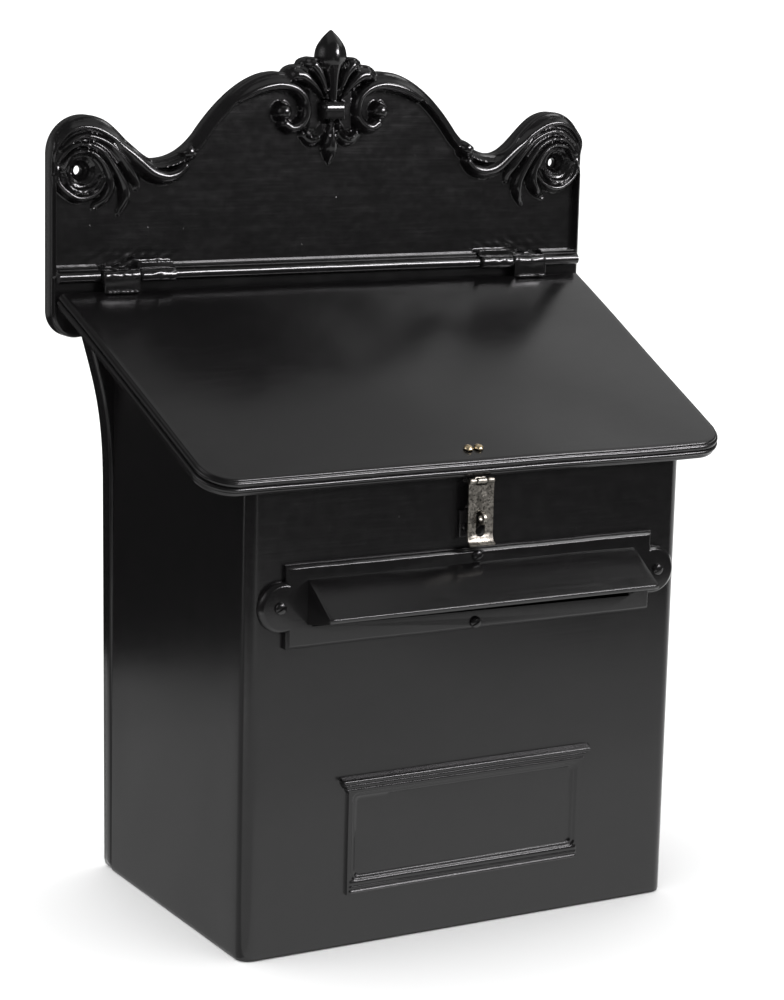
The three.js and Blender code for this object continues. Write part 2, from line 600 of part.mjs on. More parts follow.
const pairs = [
  ['hinge_plate_knuckle', 'black_paint', plateKnuckle()],
  ['hinge_lid_knuckle', 'black_paint', lidKnuckle()],
  ['hinge_pin', 'zinc_steel', hingePin()],
];
for (const [name, finish, solid] of pairs) {
  add(`${name}_right`, finish, solid);
  add(`${name}_left`, finish, mirrored(solid));
}

add('hasp_leaf', 'bare_steel', haspLeaf());
add('hasp_strap', 'bare_steel', haspStrap());
add('hasp_pin', 'bare_steel', haspPin());
add('hasp_rivet_left', 'brass', haspRivet(-RIVET_X));
add('hasp_rivet_right', 'brass', haspRivet(RIVET_X));
add('staple_plate', 'black_fastener', staplePlate());
add('staple', 'bare_steel', staple());
add('staple_nut', 'zinc_steel', hexNut(0, STAPLE_Z));
add('staple_screw_left', 'black_fastener', stapleScrew(-STAPLE_SCREW[0], STAPLE_SCREW[1]));
add('staple_screw_right', 'black_fastener', stapleScrew(...STAPLE_SCREW));

add('letter_plate', 'black_paint', letterPlate());
for (const [side, place] of Object.entries(LETTER_SCREWS)) {
  add(`plate_screw_${side}`, 'black_fastener', plateScrew(place));
  add(`plate_nut_${side}`, 'zinc_steel', hexNut(...place));
}

BACK_SCREWS.forEach(([x, z], i) => add(`back_screw_${i + 1}`, 'zinc_steel', backScrew(x, z)));

export default letterBox;
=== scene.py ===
import json
import math

import bmesh
import bpy
import numpy as np
from mathutils import Matrix, Vector
from mathutils.geometry import tessellate_polygon

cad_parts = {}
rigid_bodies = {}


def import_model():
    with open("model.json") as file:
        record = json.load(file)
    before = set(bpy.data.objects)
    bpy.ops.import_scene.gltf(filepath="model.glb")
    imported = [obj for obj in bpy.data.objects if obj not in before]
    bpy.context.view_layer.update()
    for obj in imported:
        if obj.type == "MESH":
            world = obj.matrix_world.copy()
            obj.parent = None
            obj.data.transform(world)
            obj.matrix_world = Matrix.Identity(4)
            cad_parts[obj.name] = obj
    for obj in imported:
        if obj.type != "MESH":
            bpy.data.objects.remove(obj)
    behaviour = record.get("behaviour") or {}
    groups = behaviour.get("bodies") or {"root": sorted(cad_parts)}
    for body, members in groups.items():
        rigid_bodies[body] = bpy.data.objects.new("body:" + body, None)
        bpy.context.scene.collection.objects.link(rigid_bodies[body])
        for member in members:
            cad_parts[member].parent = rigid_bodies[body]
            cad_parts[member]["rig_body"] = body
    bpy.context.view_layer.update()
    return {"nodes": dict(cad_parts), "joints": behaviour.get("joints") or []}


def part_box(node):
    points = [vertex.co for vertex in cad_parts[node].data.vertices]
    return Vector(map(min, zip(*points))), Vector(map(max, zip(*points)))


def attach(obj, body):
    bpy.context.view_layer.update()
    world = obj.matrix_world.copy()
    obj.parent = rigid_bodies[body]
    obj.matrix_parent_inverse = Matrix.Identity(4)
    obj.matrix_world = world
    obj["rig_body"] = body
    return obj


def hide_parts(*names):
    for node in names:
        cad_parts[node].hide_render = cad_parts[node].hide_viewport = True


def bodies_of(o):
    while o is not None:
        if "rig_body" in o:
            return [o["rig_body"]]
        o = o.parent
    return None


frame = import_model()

MM = 0.001


# ---- sizes ---------------------------------------------------------------------------------
def corners(node):
    low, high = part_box(node)
    return np.array(low) / MM, np.array(high) / MM


def joint_place(name):
    found = next(joint for joint in frame["joints"] if joint["name"] == name)
    return np.array(found["pos_m"]) / MM


GAP = 0.3
PLATE_HALF, WALL_Y = corners("back_plate")[1][:2]
BOX_HALF, REAR_Y = corners("box_shell")[1][:2]
FRONT_Y = corners("letter_plate")[1][1] + GAP
HINGE_Y, HINGE_Z = joint_place("lid_hinge")[1:]
HASP_Y, HASP_Z = joint_place("hasp_hinge")[1:]
HINGE_AXIS_AT = (0, HINGE_Y, HINGE_Z)
HASP_AXIS_AT = (0, HASP_Y, HASP_Z)

RIM_H = 12.0  # heights of the back plate, forward of the wall
FIELD_H = 7.5
PLATE_EDGE_R = 2.6
PLATE_GRID = 0.8
LEAF_TOP_Z = 397.6  # top of the hinge leaves on the back plate
EYE = (PLATE_HALF - 20, 454.7)  # fixing eye in the right ear
EYE_HOLE_R = 3.0
BUD_Y = WALL_Y - 8
BUD_Z = 525.8

WALL = 5.0
CORNER_R = 9.0

LID_FRONT_Y = WALL_Y - 213
LID_FRONT_Z = 294.5
LID_TILT = math.atan2(377 - LID_FRONT_Z, 188)
LID_REAR_Y = WALL_Y - 18
LID_REAR_Z = LID_FRONT_Z + (LID_REAR_Y - LID_FRONT_Y) * math.tan(LID_TILT)
LID_LENGTH = math.hypot(LID_REAR_Y - LID_FRONT_Y, LID_REAR_Z - LID_FRONT_Z)
LID_REAR_HALF = 192.3
LID_FRONT_HALF = 183.0
LID_CORNER_R = 22.0
LID_T = 6.0
LID_EDGE_T = 10.8

KNUCKLE_INNER_X = 113.0
KNUCKLE_JOINT_X = 137.7
KNUCKLE_OUTER_X = 163.0
KNUCKLE_R = 4.2
PIN_R = 1.7

LETTER_Z = 215.7
LETTER_HALF = 128.5
LETTER_HALF_HEIGHT = 25.2
LETTER_FRONT_Y = FRONT_Y - GAP - 5
EAR_X = 130.5
EAR_R = 15.5
SLOT_HALF = 112.0
HOOD_Y = corners("letter_plate")[0][1]
PLATE_SCREWS = {
    "top": (0, LETTER_Z + 20.6),
    "bottom": (0, LETTER_Z - 20.6),
    "left": (-133, LETTER_Z + 0.5),
    "right": (133, LETTER_Z + 0.5),
}

BOLT_HOLE_R = 2.3
SMALL_HOLE_R = 1.6

STRAP_HALF = 8.8
STRAP_T = 1.2
HASP_TUBE_R = 2.0
HASP_BORE_R = 1.2
TONGUE_HALF = 3.6
STAPLE_Z = 256.0
STAPLE_SCREWS = {"left": (-7.4, 254.2), "right": (7.4, 254.2)}
RIVET_X = 3.6
RIVET_Y = WALL_Y - 199
BACK_SCREWS = [(-140, 16), (140, 16), (-140, 345), (140, 345)]


# ---- curves and noise ----------------------------------------------------------------------
def smooth_path(points, step=0.7):
    """An even polyline on the Catmull-Rom curve through a few points."""
    p = np.array(points, float)
    ends = np.vstack([2 * p[0] - p[1], p, 2 * p[-1] - p[-2]])
    t = np.linspace(0, 1, 12, endpoint=False)[:, None]
    runs = []
    for a, b, c, d in zip(ends, ends[1:], ends[2:], ends[3:]):
        cubic = 3 * b - a - 3 * c + d
        square = 2 * a - 5 * b + 4 * c - d
        runs.append(0.5 * (2 * b + (c - a) * t + square * t**2 + cubic * t**3))
    curve = np.vstack([*runs, p[-1]])
    gaps = np.linalg.norm(np.diff(curve, axis=0), axis=1)
    length = np.concatenate([[0], np.cumsum(gaps)])
    even = np.linspace(0, length[-1], max(int(length[-1] / step), 2) + 1)
    return np.column_stack([np.interp(even, length, axis) for axis in curve.T])


def arc(centre, radius, start, end, step=0.6):
    """Points on an arc; angles in degrees."""
    count = max(int(abs(math.radians(end - start)) * radius / step), 3)
    turn = np.radians(np.linspace(start, end, count + 1))
    return np.column_stack([centre[0] + radius * np.cos(turn), centre[1] + radius * np.sin(turn)])


def bezier(a, b, c, d, count=50):
    t = np.linspace(0, 1, count + 1)[:, None]
    a, b, c, d = (np.array(p, float) for p in (a, b, c, d))
    return a * (1 - t) ** 3 + 3 * b * t * (1 - t) ** 2 + 3 * c * t**2 * (1 - t) + d * t**3


def spiral(centre, turns_and_radii):
    """Places round a centre, from pairs of degrees and radius."""
    places = []
    for degrees, radius in turns_and_radii:
        turn = math.radians(degrees)
        places.append((centre[0] + radius * math.cos(turn), centre[1] + radius * math.sin(turn)))
    return places


def waves(points, size, seed, count=7):
    """Smooth unevenness between about -1 and 1, with features of about `size` millimetres."""
    points = np.asarray(points, float)
    rng = np.random.default_rng(seed)
    total = np.zeros(points.shape[:-1])
    for _ in range(count):
        direction = rng.normal(size=points.shape[-1])
        direction *= 2 * math.pi / size / np.linalg.norm(direction) * rng.uniform(0.6, 1.5)
        total += np.sin(points @ direction + rng.uniform(0, 2 * math.pi))
    return total / math.sqrt(count)


def smooth_step(value, start, end):
    t = np.clip((value - start) / (end - start), 0, 1)
    return t * t * (3 - 2 * t)


def smooth_max(a, b, width):
    return np.maximum(a, b) + np.maximum(width - np.abs(a - b), 0) ** 2 / (4 * width)


# ---- solids: each is (points, faces) -------------------------------------------------------
def outward(points, faces):
    """The same solid with its faces turned out."""
    points = np.asarray(points, float)
    volume = 0.0
    for face in faces:
        a = points[face[0]]
        for i, j in zip(face[1:], face[2:]):
            volume += np.dot(a, np.cross(points[i], points[j]))
    if volume < 0:
        faces = [face[::-1] for face in faces]
    return points, [list(face) for face in faces]


def loft(loops, ring=False):
    """A skin over closed loops of equal length, with end caps, or joined end to end as a ring."""
    loops = np.asarray(loops, float)
    rows, count = loops.shape[:2]
    faces = []
    for row in range(rows if ring else rows - 1):
        here, there = row * count, (row + 1) % rows * count
        for k in range(count):
            after = (k + 1) % count
            faces.append([here + k, here + after, there + after, there + k])
    if not ring:
        faces.append(list(range(count))[::-1])
        faces.append(list(range((rows - 1) * count, rows * count)))
    return outward(loops.reshape(-1, 3), faces)


def placed(flat, axis, height):
    """2-D points set at a height along an axis; the two are the remaining axes in order."""
    flat = np.asarray(flat, float)
    return np.insert(flat, "xyz".index(axis), height, axis=1)


def prism(flat, axis, start, end):
    return loft([placed(flat, axis, start), placed(flat, axis, end)])


def block(low, high):
    flat = [(low[0], low[1]), (high[0], low[1]), (high[0], high[1]), (low[0], high[1])]
    return prism(flat, "z", low[2], high[2])


def lathe(profile, origin, axis, sides=32):
    """A turned solid from [radius, height] pairs; a profile off the axis closes on itself."""
    profile = np.asarray(profile, float)
    bored = profile[0][0] > 0
    basis = np.array(Vector((0, 0, 1)).rotation_difference(Vector(axis)).to_matrix())
    turn = np.linspace(0, 2 * math.pi, sides, endpoint=False)
    round_part = profile if bored else profile[1:-1]
    loops = []
    for radius, height in round_part:
        ring = np.column_stack([radius * np.cos(turn), radius * np.sin(turn), np.full(sides, height)])
        loops.append(ring @ basis.T + origin)
    if bored:
        return loft(loops, ring=True)
    points, faces = loft(loops)
    faces = [face for face in faces if len(face) == 4]
    first, last = len(points), len(points) + 1
    tips = np.array([[0, 0, profile[0][1]], [0, 0, profile[-1][1]]]) @ basis.T + origin
    top = (len(round_part) - 1) * sides
    for k in range(sides):
        after = (k + 1) % sides
        faces.append([first, after, k])
        faces.append([last, top + k, top + after])
    return consistent(np.vstack([points, tips]), faces)


def consistent(points, faces):
    """Turns every face of a closed solid the same way, outward."""
    mesh = bpy.data.meshes.new("scratch")
    mesh.from_pydata([tuple(p) for p in points], [], faces)
    work = bmesh.new()
    work.from_mesh(mesh)
    bmesh.ops.recalc_face_normals(work, faces=work.faces)
    turned = [[v.index for v in face.verts] for face in work.faces]
    work.free()
    bpy.data.meshes.remove(mesh)
    return outward(points, turned)


def grid_faces(rows, count):
    """Quads between the rows of a grid of points."""
    faces = []
    for row in range(rows - 1):
        for k in range(count - 1):
            a = row * count + k
            faces.append([a, a + 1, a + count + 1, a + count])
    return faces


def bore(x, y, z, radius, depth):
    """The solid of a round hole that runs back from y."""
    return lathe([(0, 0), (radius, 0), (radius, depth), (0, depth)], (x, y, z), (0, 1, 0), 24)


def merged(*solids):
    points, faces, start = [], [], 0
    for some_points, some_faces in solids:
        points.append(some_points)
        faces += [[start + i for i in face] for face in some_faces]
        start += len(some_points)
    return np.vstack(points), faces


def moved(solid, place):
    return solid[0] + np.array(place), solid[1]


def mirrored(solid):
    points, faces = solid
    return points * [-1, 1, 1], [face[::-1] for face in faces]


# ---- Blender objects -----------------------------------------------------------------------
def new_object(name, solid):
    points, faces = solid
    mesh = bpy.data.meshes.new(name)
    mesh.from_pydata([tuple(p) for p in np.asarray(points) * MM], [], faces)
    mesh.validate()
    mesh.shade_smooth()
    made = bpy.data.objects.new(name, mesh)
    bpy.context.scene.collection.objects.link(made)
    return made


def bake_modifiers(thing):
    graph = bpy.context.evaluated_depsgraph_get()
    mesh = bpy.data.meshes.new_from_object(thing.evaluated_get(graph))
    thing.modifiers.clear()
    thing.data = mesh


def use_tool(thing, tool, operation):
    """Joins another object to one, or cuts it from it, and removes the other."""
    step = thing.modifiers.new("step", "BOOLEAN")
    step.operation = operation
    step.solver = "MANIFOLD"
    step.object = tool
    bake_modifiers(thing)
    bpy.data.objects.remove(tool)


def combine(thing, solids, operation):
    for solid in solids:
        use_tool(thing, new_object("tool", solid), operation)


def round_edges(thing, width, segments=3, angle=35):
    bevel = thing.modifiers.new("bevel", "BEVEL")
    bevel.width = width * MM
    bevel.segments = segments
    bevel.limit_method = "ANGLE"
    bevel.angle_limit = math.radians(angle)
    bevel.use_clamp_overlap = True
    bake_modifiers(thing)


def finish_piece(thing, node, body, material, sharp=38):
    """Shades a piece, gives it its material, attaches it to the body it rides on and hides the CAD part it
    stands in for.
    """
    thing.data.shade_smooth()
    thing.data.set_sharp_from_angle(angle=math.radians(sharp))
    thing.data.materials.clear()
    thing.data.materials.append(material)
    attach(thing, body)
    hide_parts(node)


# ---- materials -----------------------------------------------------------------------------
class Nodes:
    """A material's nodes, with short calls for the few kinds used here."""

    def __init__(self, name):
        self.material = bpy.data.materials.new(name)
        self.material.use_nodes = True
        self.tree = self.material.node_tree
        self.shader = self.tree.nodes["Principled BSDF"]
        self.coords = self.tree.nodes.new("ShaderNodeTexCoord").outputs["Object"]
        self.normal = None

    def link(self, source, target):
        self.tree.links.new(source, target)

    def fill(self, socket, value):
        """Puts a number or colour on a socket, or links another socket to it."""
        if isinstance(value, bpy.types.NodeSocket):
            self.link(value, socket)
        else:
            socket.default_value = value

    def add(self, kind, **inputs):
        node = self.tree.nodes.new("ShaderNode" + kind)
        for name, value in inputs.items():
            self.fill(node.inputs[name.replace("_", " ")], value)
        return node

    def noise(self, scale, detail=3, stretch=None, rough=0.55):
        """Noise with `scale` features to the metre."""
        vector = self.coords
        if stretch:
            vector = self.add("Mapping", Vector=vector, Scale=stretch).outputs["Vector"]
        node = self.add("TexNoise", Vector=vector, Scale=scale, Detail=detail, Roughness=rough)
        return node.outputs["Fac"]

    def specks(self, scale, size):
        """Small round spots scattered one to a cell."""
        node = self.add("TexVoronoi", Vector=self.coords, Scale=scale)
        return self.ranged(node.outputs["Distance"], 0.0, size, 1.0, 0.0)

    def ranged(self, value, low, high, out_low, out_high):
        node = self.add("MapRange", Value=value, From_Min=low, From_Max=high,
                        To_Min=out_low, To_Max=out_high)
        node.interpolation_type = "SMOOTHSTEP"
        return node.outputs["Result"]

    def math(self, operation, a, b):
        step = self.tree.nodes.new("ShaderNodeMath")
        step.operation = operation
        self.fill(step.inputs[0], a)
        self.fill(step.inputs[1], b)
        return step.outputs["Value"]

    def mix(self, factor, first, second):
        blend = self.tree.nodes.new("ShaderNodeMix")
        blend.data_type = "RGBA"
        self.link(factor, blend.inputs["Factor"])
        for socket, colour in ((blend.inputs["A"], first), (blend.inputs["B"], second)):
            self.fill(socket, (*colour, 1) if isinstance(colour, tuple) else colour)
        return blend.outputs["Result"]

    def bump(self, height, depth):
        """Adds relief `depth` millimetres deep."""
        relief = self.add("Bump", Distance=depth * MM, Height=height)
        if self.normal:
            self.link(self.normal, relief.inputs["Normal"])
        self.normal = relief.outputs["Normal"]

    def edges(self):
        """1 on raised edges, 0 on flats."""
        pointiness = self.add("NewGeometry").outputs["Pointiness"]
        return self.ranged(pointiness, 0.52, 0.6, 0.0, 1.0)

    def done(self, colour, roughness, metallic=0.0):
        self.link(colour, self.shader.inputs["Base Color"])
        self.link(roughness, self.shader.inputs["Roughness"])
        self.link(self.normal, self.shader.inputs["Normal"])
        self.shader.inputs["Metallic"].default_value = metallic
        return self.material


def enamel(name, gloss, grain, streaks, dips, across=(30, 260, 900)):
    """Brushed-on black enamel over a casting: streaks, grain, dust nibs, slow dips and a painted sheen
    that lightens raised edges.
    """
    n = Nodes(name)
    slow = n.noise(26, detail=2)
    brush = n.noise(1, detail=5, stretch=across)
    fine = n.noise(1900, detail=2)
    nibs = n.specks(60, 0.035)
    n.bump(slow, dips)
    n.bump(brush, streaks)
    n.bump(fine, grain)
    n.bump(nibs, 0.12)
    patch = n.ranged(n.noise(60, detail=4), 0.3, 0.7, 0.0, 1.0)
    colour = n.mix(patch, (0.0031, 0.0029, 0.0031), (0.0039, 0.0035, 0.0038))
    # Painted sheen: raised edges are painted lighter than the flats, up to halfway to a lighter black.
    colour = n.mix(n.math("MULTIPLY", n.edges(), 0.5), colour, (0.013, 0.012, 0.0125))
    uneven = n.ranged(n.noise(140, detail=5), 0.3, 0.7, gloss - 0.015, gloss + 0.015)
    roughness = n.math("ADD", uneven, n.ranged(brush, 0.4, 0.7, 0.0, 0.03))
    return n.done(colour, roughness)


def worn_metal(name, light, dark, paint, gloss):
    """Plain metal with mottled tarnish, fine scratches and flecks of paint."""
    n = Nodes(name)
    mottle = n.ranged(n.noise(420, detail=5), 0.35, 0.68, 0.0, 1.0)
    scratches = n.noise(1, detail=4, stretch=(2600, 500, 160))
    flecks = n.ranged(n.noise(900, detail=4), 0.62, 0.66, 0.0, paint)
    n.bump(scratches, 0.02)
    n.bump(mottle, 0.03)
    n.bump(flecks, 0.04)
    colour = n.mix(mottle, light, dark)
    colour = n.mix(flecks, colour, (0.012, 0.011, 0.011))
    colour = n.mix(n.math("MULTIPLY", n.edges(), 0.5), colour, light)
    roughness = n.ranged(n.noise(700, detail=4), 0.3, 0.7, gloss - 0.08, gloss + 0.12)
    return n.done(colour, roughness, metallic=1.0)


ENAMEL = enamel("enamel_cast", gloss=0.18, grain=0.016, streaks=0.014, dips=0.05)
ENAMEL_SHEET = enamel("enamel_brushed", gloss=0.2, grain=0.006, streaks=0.022, dips=0.03)
ENAMEL_THICK = enamel("enamel_thick", gloss=0.17, grain=0.015, streaks=0.01, dips=0.2)
FASTENER = enamel("enamel_fastener", gloss=0.2, grain=0.015, streaks=0.01, dips=0.1)
STEEL = worn_metal("strap_steel", (0.27, 0.255, 0.225), (0.10, 0.094, 0.082), 0.9, 0.32)
ZINC = worn_metal("zinc_steel", (0.55, 0.55, 0.53), (0.33, 0.33, 0.32), 0.1, 0.4)
BRASS = worn_metal("rivet_brass", (0.72, 0.60, 0.40), (0.42, 0.32, 0.18), 0.25, 0.26)


# ---- back plate ----------------------------------------------------------------------------
def plate_outline():
    """Right half of the outline, from the middle of the bottom to the crest."""
    shoulder = (BOX_HALF + 2.4, 262)
    foot = arc((PLATE_HALF - 16.5, 367.5), 16.5, -106, 0)
    ear = arc((PLATE_HALF - 24, 465), 24, 0, 110)
    runs = [
        [(0, 0)],
        arc((BOX_HALF - 3, 3), 3, -90, 0),
        bezier(shoulder, (BOX_HALF + 3.4, 305), (162, 322), (170, 351)),
        foot,
        ear,
        bezier(ear[-1], (148, 483.5), (138, 461.5), (124, 461.5))[1:],
        bezier((124, 461.5), (110, 461.5), (101, 469.5), (95, 476.5))[1:],
        bezier((95, 476.5), (85.5, 489.5), (67.5, 510.5), (46, 515))[1:],
        smooth_path([(46, 515), (39, 515.8), (33.5, 515.2)])[1:],
        smooth_path([(33.5, 515.2), (31, 518), (27, 519.8), (22.5, 520.4)])[1:],
        smooth_path([(22.5, 520.4), (20.5, 523.3), (14, 525.2), (9, 524)])[1:],
        [(0, 524)],
    ]
    return np.vstack(runs)


def eased(along, values):
    """Values given at even stations, on a smooth curve, at places from 0 to 1."""
    stations = np.linspace(0, 100, len(values))
    curve = smooth_path(np.column_stack([stations, values]), 1.0)
    return np.interp(along * 100, curve[:, 0], curve[:, 1])


class Relief:
    """Heights in front of the wall on a grid over the right half of the plate."""

    def __init__(self, xs, zs):
        self.xs = xs
        self.zs = zs
        self.x, self.z = np.meshgrid(xs, zs)
        self.height = np.full(self.x.shape, FIELD_H)

    def window(self, low, high):
        i0, i1 = np.searchsorted(self.xs, (low[0], high[0]))
        j0, j1 = np.searchsorted(self.zs, (low[1], high[1]))
        return slice(j0, j1), slice(i0, i1)

    def nearest(self, path, reach):
        """Distance to a path, up to about `reach`, and the place along it from 0 to 1."""
        distance = np.full(self.x.shape, 2.0 * reach)
        along = np.zeros(self.x.shape)
        gaps = np.linalg.norm(np.diff(path, axis=0), axis=1)
        start = np.concatenate([[0], np.cumsum(gaps)])
        for k, (a, b) in enumerate(zip(path, path[1:])):
            part = self.window(np.minimum(a, b) - reach, np.maximum(a, b) + reach)
            x, z = self.x[part] - a[0], self.z[part] - a[1]
            run = b - a
            t = np.clip((x * run[0] + z * run[1]) / max(run @ run, 1e-9), 0, 1)
            away = np.hypot(x - t * run[0], z - t * run[1])
            closer = away < distance[part]
            distance[part] = np.where(closer, away, distance[part])
            along[part] = np.where(closer, (start[k] + t * gaps[k]) / start[-1], along[part])
        return distance, along

    def ridge(self, points, radius, top, foot=FIELD_H, blend=0.7, power=0.5):
        """A rounded ridge along a path; radius and top are given at even stations."""
        path = smooth_path(points)
        reach = max(radius) + 2
        distance, along = self.nearest(path, reach)
        near = distance < reach
        r = eased(along[near], radius)
        peak = eased(along[near], top)
        across = np.minimum(distance[near] / r, 1)
        past_foot = np.maximum(distance[near] - r, 0)
        raised = foot + (peak - foot) * (1 - across**2) ** power - 3 * past_foot
        self.height[near] = smooth_max(self.height[near], raised, blend)

    def groove(self, points, half_width, depth):
        path = smooth_path(points)
        distance, _ = self.nearest(path, 4 * half_width)
        self.height -= depth * np.exp(-((distance / half_width) ** 2))

    def ball(self, centre, radius, top, blend=0.5):
        away = np.hypot(self.x - centre[0], self.z - centre[1])
        dome = np.sqrt(np.maximum(radius**2 - away**2, 0))
        raised = top - radius + dome - 3 * np.maximum(away - radius, 0)
        self.height = smooth_max(self.height, raised, blend)


def plate_rows():
    """Heights of the relief's rows: wide steps behind the box, fine ones from the hinges up."""
    foot = [0.0, 0.8, 1.6, 2.4]
    pocket_ends = [23.5, 24.5, 339.5, 340.5]
    fine = np.arange(382, 529, PLATE_GRID)
    return np.unique(np.concatenate([foot, np.arange(8, 380, 12), pocket_ends, fine]))


def inside_depth(relief, outline, reach=14):
    """Depth inside the outline: positive inside, negative outside."""
    distance, _ = relief.nearest(outline, reach)
    inside = np.zeros(relief.x.shape, bool)
    for a, b in zip(outline, outline[1:]):
        low, high = sorted((a[1], b[1]))
        rows = np.nonzero((relief.zs >= low) & (relief.zs < high))[0]
        for row in rows:
            t = (relief.zs[row] - a[1]) / (b[1] - a[1])
            crossing = a[0] + t * (b[0] - a[0])
            inside[row] ^= relief.xs < crossing
    return np.where(inside, distance, -distance)


def border(relief, depth):
    """Moulded border: it rises from the edge to a fine bead and drops to the field."""
    depth = depth * (2.2 - 1.2 * smooth_step(relief.z, 444, 458))
    rise = 8.3 + 4.2 * np.sin(np.clip(depth / 5.6, 0, 1) * math.pi / 2)
    drop = 5.2 * smooth_step(depth, 5.9, 8.2)
    bead = 0.9 * np.exp(-(((depth - 5.5) / 0.85) ** 2))
    band = rise - drop + bead
    behind_leaf = smooth_step(relief.x, KNUCKLE_INNER_X - 1.5, KNUCKLE_INNER_X)
    behind_leaf *= smooth_step(KNUCKLE_JOINT_X + 1 - relief.x, 0, 1.5)
    foot_z = HINGE_Z + 2.6 + behind_leaf * (LEAF_TOP_Z - 1.6 - HINGE_Z - 2.6)
    low_rim = RIM_H - (RIM_H - FIELD_H) * smooth_step(relief.z, foot_z, foot_z + 1.6)
    relief.height = smooth_max(np.where(relief.z > 390, band, 0), low_rim, 0.5)


# The ear's outer ring in degrees and radius round the eye, and the roll it ends in, in x and z.
EAR_RIDGE = [(10, 20.6), (44, 22.8), (77, 26.5), (106, 27.6), (135, 28.8), (151, 30.6)]
EAR_REST = [(175, 24), (215, 17.5), (345, 17.5), (360, 19)]
VALLEY_ROLL = [(139.5, 463.2), (128, 453.8), (121.5, 451), (115, 450.4), (108.5, 452.6), (104, 457)]


def by_eye(places):
    """Places given as distances from the eye: inward and up."""
    return [(EYE[0] - inward, EYE[1] + up) for inward, up in places]


def ear(relief):
    """Scrolls round the fixing eye: a cup inside rounded rings that run out into leaves."""
    x, z = relief.x - EYE[0], relief.z - EYE[1]
    away = np.hypot(x, z)
    turn = np.degrees(np.arctan2(z, x)) % 360
    outer = np.interp(turn, *np.array(EAR_RIDGE + EAR_REST).T)
    outer = np.where(turn < 10, 19 + 1.6 * turn / 10, outer)
    ear_floor = 11.8
    floor = ear_floor * smooth_step(outer - away, -2.5, 0.5)
    lowered = np.maximum(floor, np.minimum(relief.height, ear_floor))
    relief.height = np.where(away < outer, lowered, relief.height)
    relief.ridge(spiral(EYE, EAR_RIDGE) + VALLEY_ROLL, [1.8, 2.5, 2.9, 3.4, 5.2, 5.2, 3.6],
                 [13.4, 14.4, 14.8, 14.8, 15, 15, 14.5], foot=9, blend=0.8, power=0.7)
    relief.ball((102, 465.3), 5.0, 17)
    outer_leaf = [(-14, 13), (-5, 20), (3, 21.6), (11, 20), (19, 15.8), (26, 9), (32, 1.5),
                  (37, -6), (38.5, -11)]
    relief.ridge(by_eye(outer_leaf), [1.6, 2.3, 2.6, 2.7, 2.9, 3.3, 3.8, 3.6, 1.8],
                 [13.2, 14.3, 14.6, 14.6, 14.4, 14.2, 13.6, 12.2, 9], foot=9, blend=0.9, power=0.75)
    middle_leaf = [(-15, 6), (-8, 14), (-1, 16.4), (7, 15.8), (15, 11), (21, 3.5), (26, -4),
                   (29.5, -11), (29.8, -18.5), (26.4, -26.5)]
    relief.ridge(by_eye(middle_leaf), [1.6, 2.2, 2.3, 2.4, 2.6, 2.9, 3.4, 3.8, 3.5, 1.6],
                 [13.2, 14.4, 14.8, 14.9, 14.8, 14.6, 14.4, 14.0, 13.0, 8.8], foot=9, blend=0.8, power=0.7)
    wide_ring = [(196, 17.6), (235, 17.0), (280, 16.8), (330, 16.6), (366, 16.4)]
    relief.ridge(spiral(EYE, wide_ring), [1.8, 2.6, 2.8, 2.6, 1.8],
                 [12.6, 13.6, 13.8, 13.6, 12.6], foot=9, blend=0.8, power=0.7)
    inner_leaf = [(-12.5, 2), (-6.7, 10.2), (0, 12.2), (7, 10.8), (12.6, 6.2), (16.6, 0), (19, -6),
                  (18.6, -12), (15.4, -17.6), (9.6, -22.6)]
    relief.ridge(by_eye(inner_leaf), [1.8, 2.1, 2.2, 2.3, 2.5, 2.9, 3.4, 3.6, 3.2, 1.5],
                 [15.0, 15.6, 15.8, 15.8, 15.7, 15.6, 15.4, 15.0, 13.6, 8.8],
                 foot=9.5, blend=0.8, power=0.7)
    near_ring = [(196, 13.0), (240, 12.6), (300, 12.6), (366, 12.8)]
    relief.ridge(spiral(EYE, near_ring), [1.6, 2.2, 2.2, 1.8], [14.6, 15.3, 15.3, 14.8],
                 foot=9, blend=0.8, power=0.7)
    hollow = 5.0 + 10.2 * np.clip((away - EYE_HOLE_R) / 9.4, 0, 2) ** 0.85
    rings = 0.35 * np.sin(away * 2.2) + 0.22 * waves(np.stack([relief.x, relief.z], -1), 3.2, seed=4)
    cup = hollow + rings * smooth_step(11 - away, 0, 2)
    relief.height = np.where(away < 13, np.minimum(relief.height, cup), relief.height)


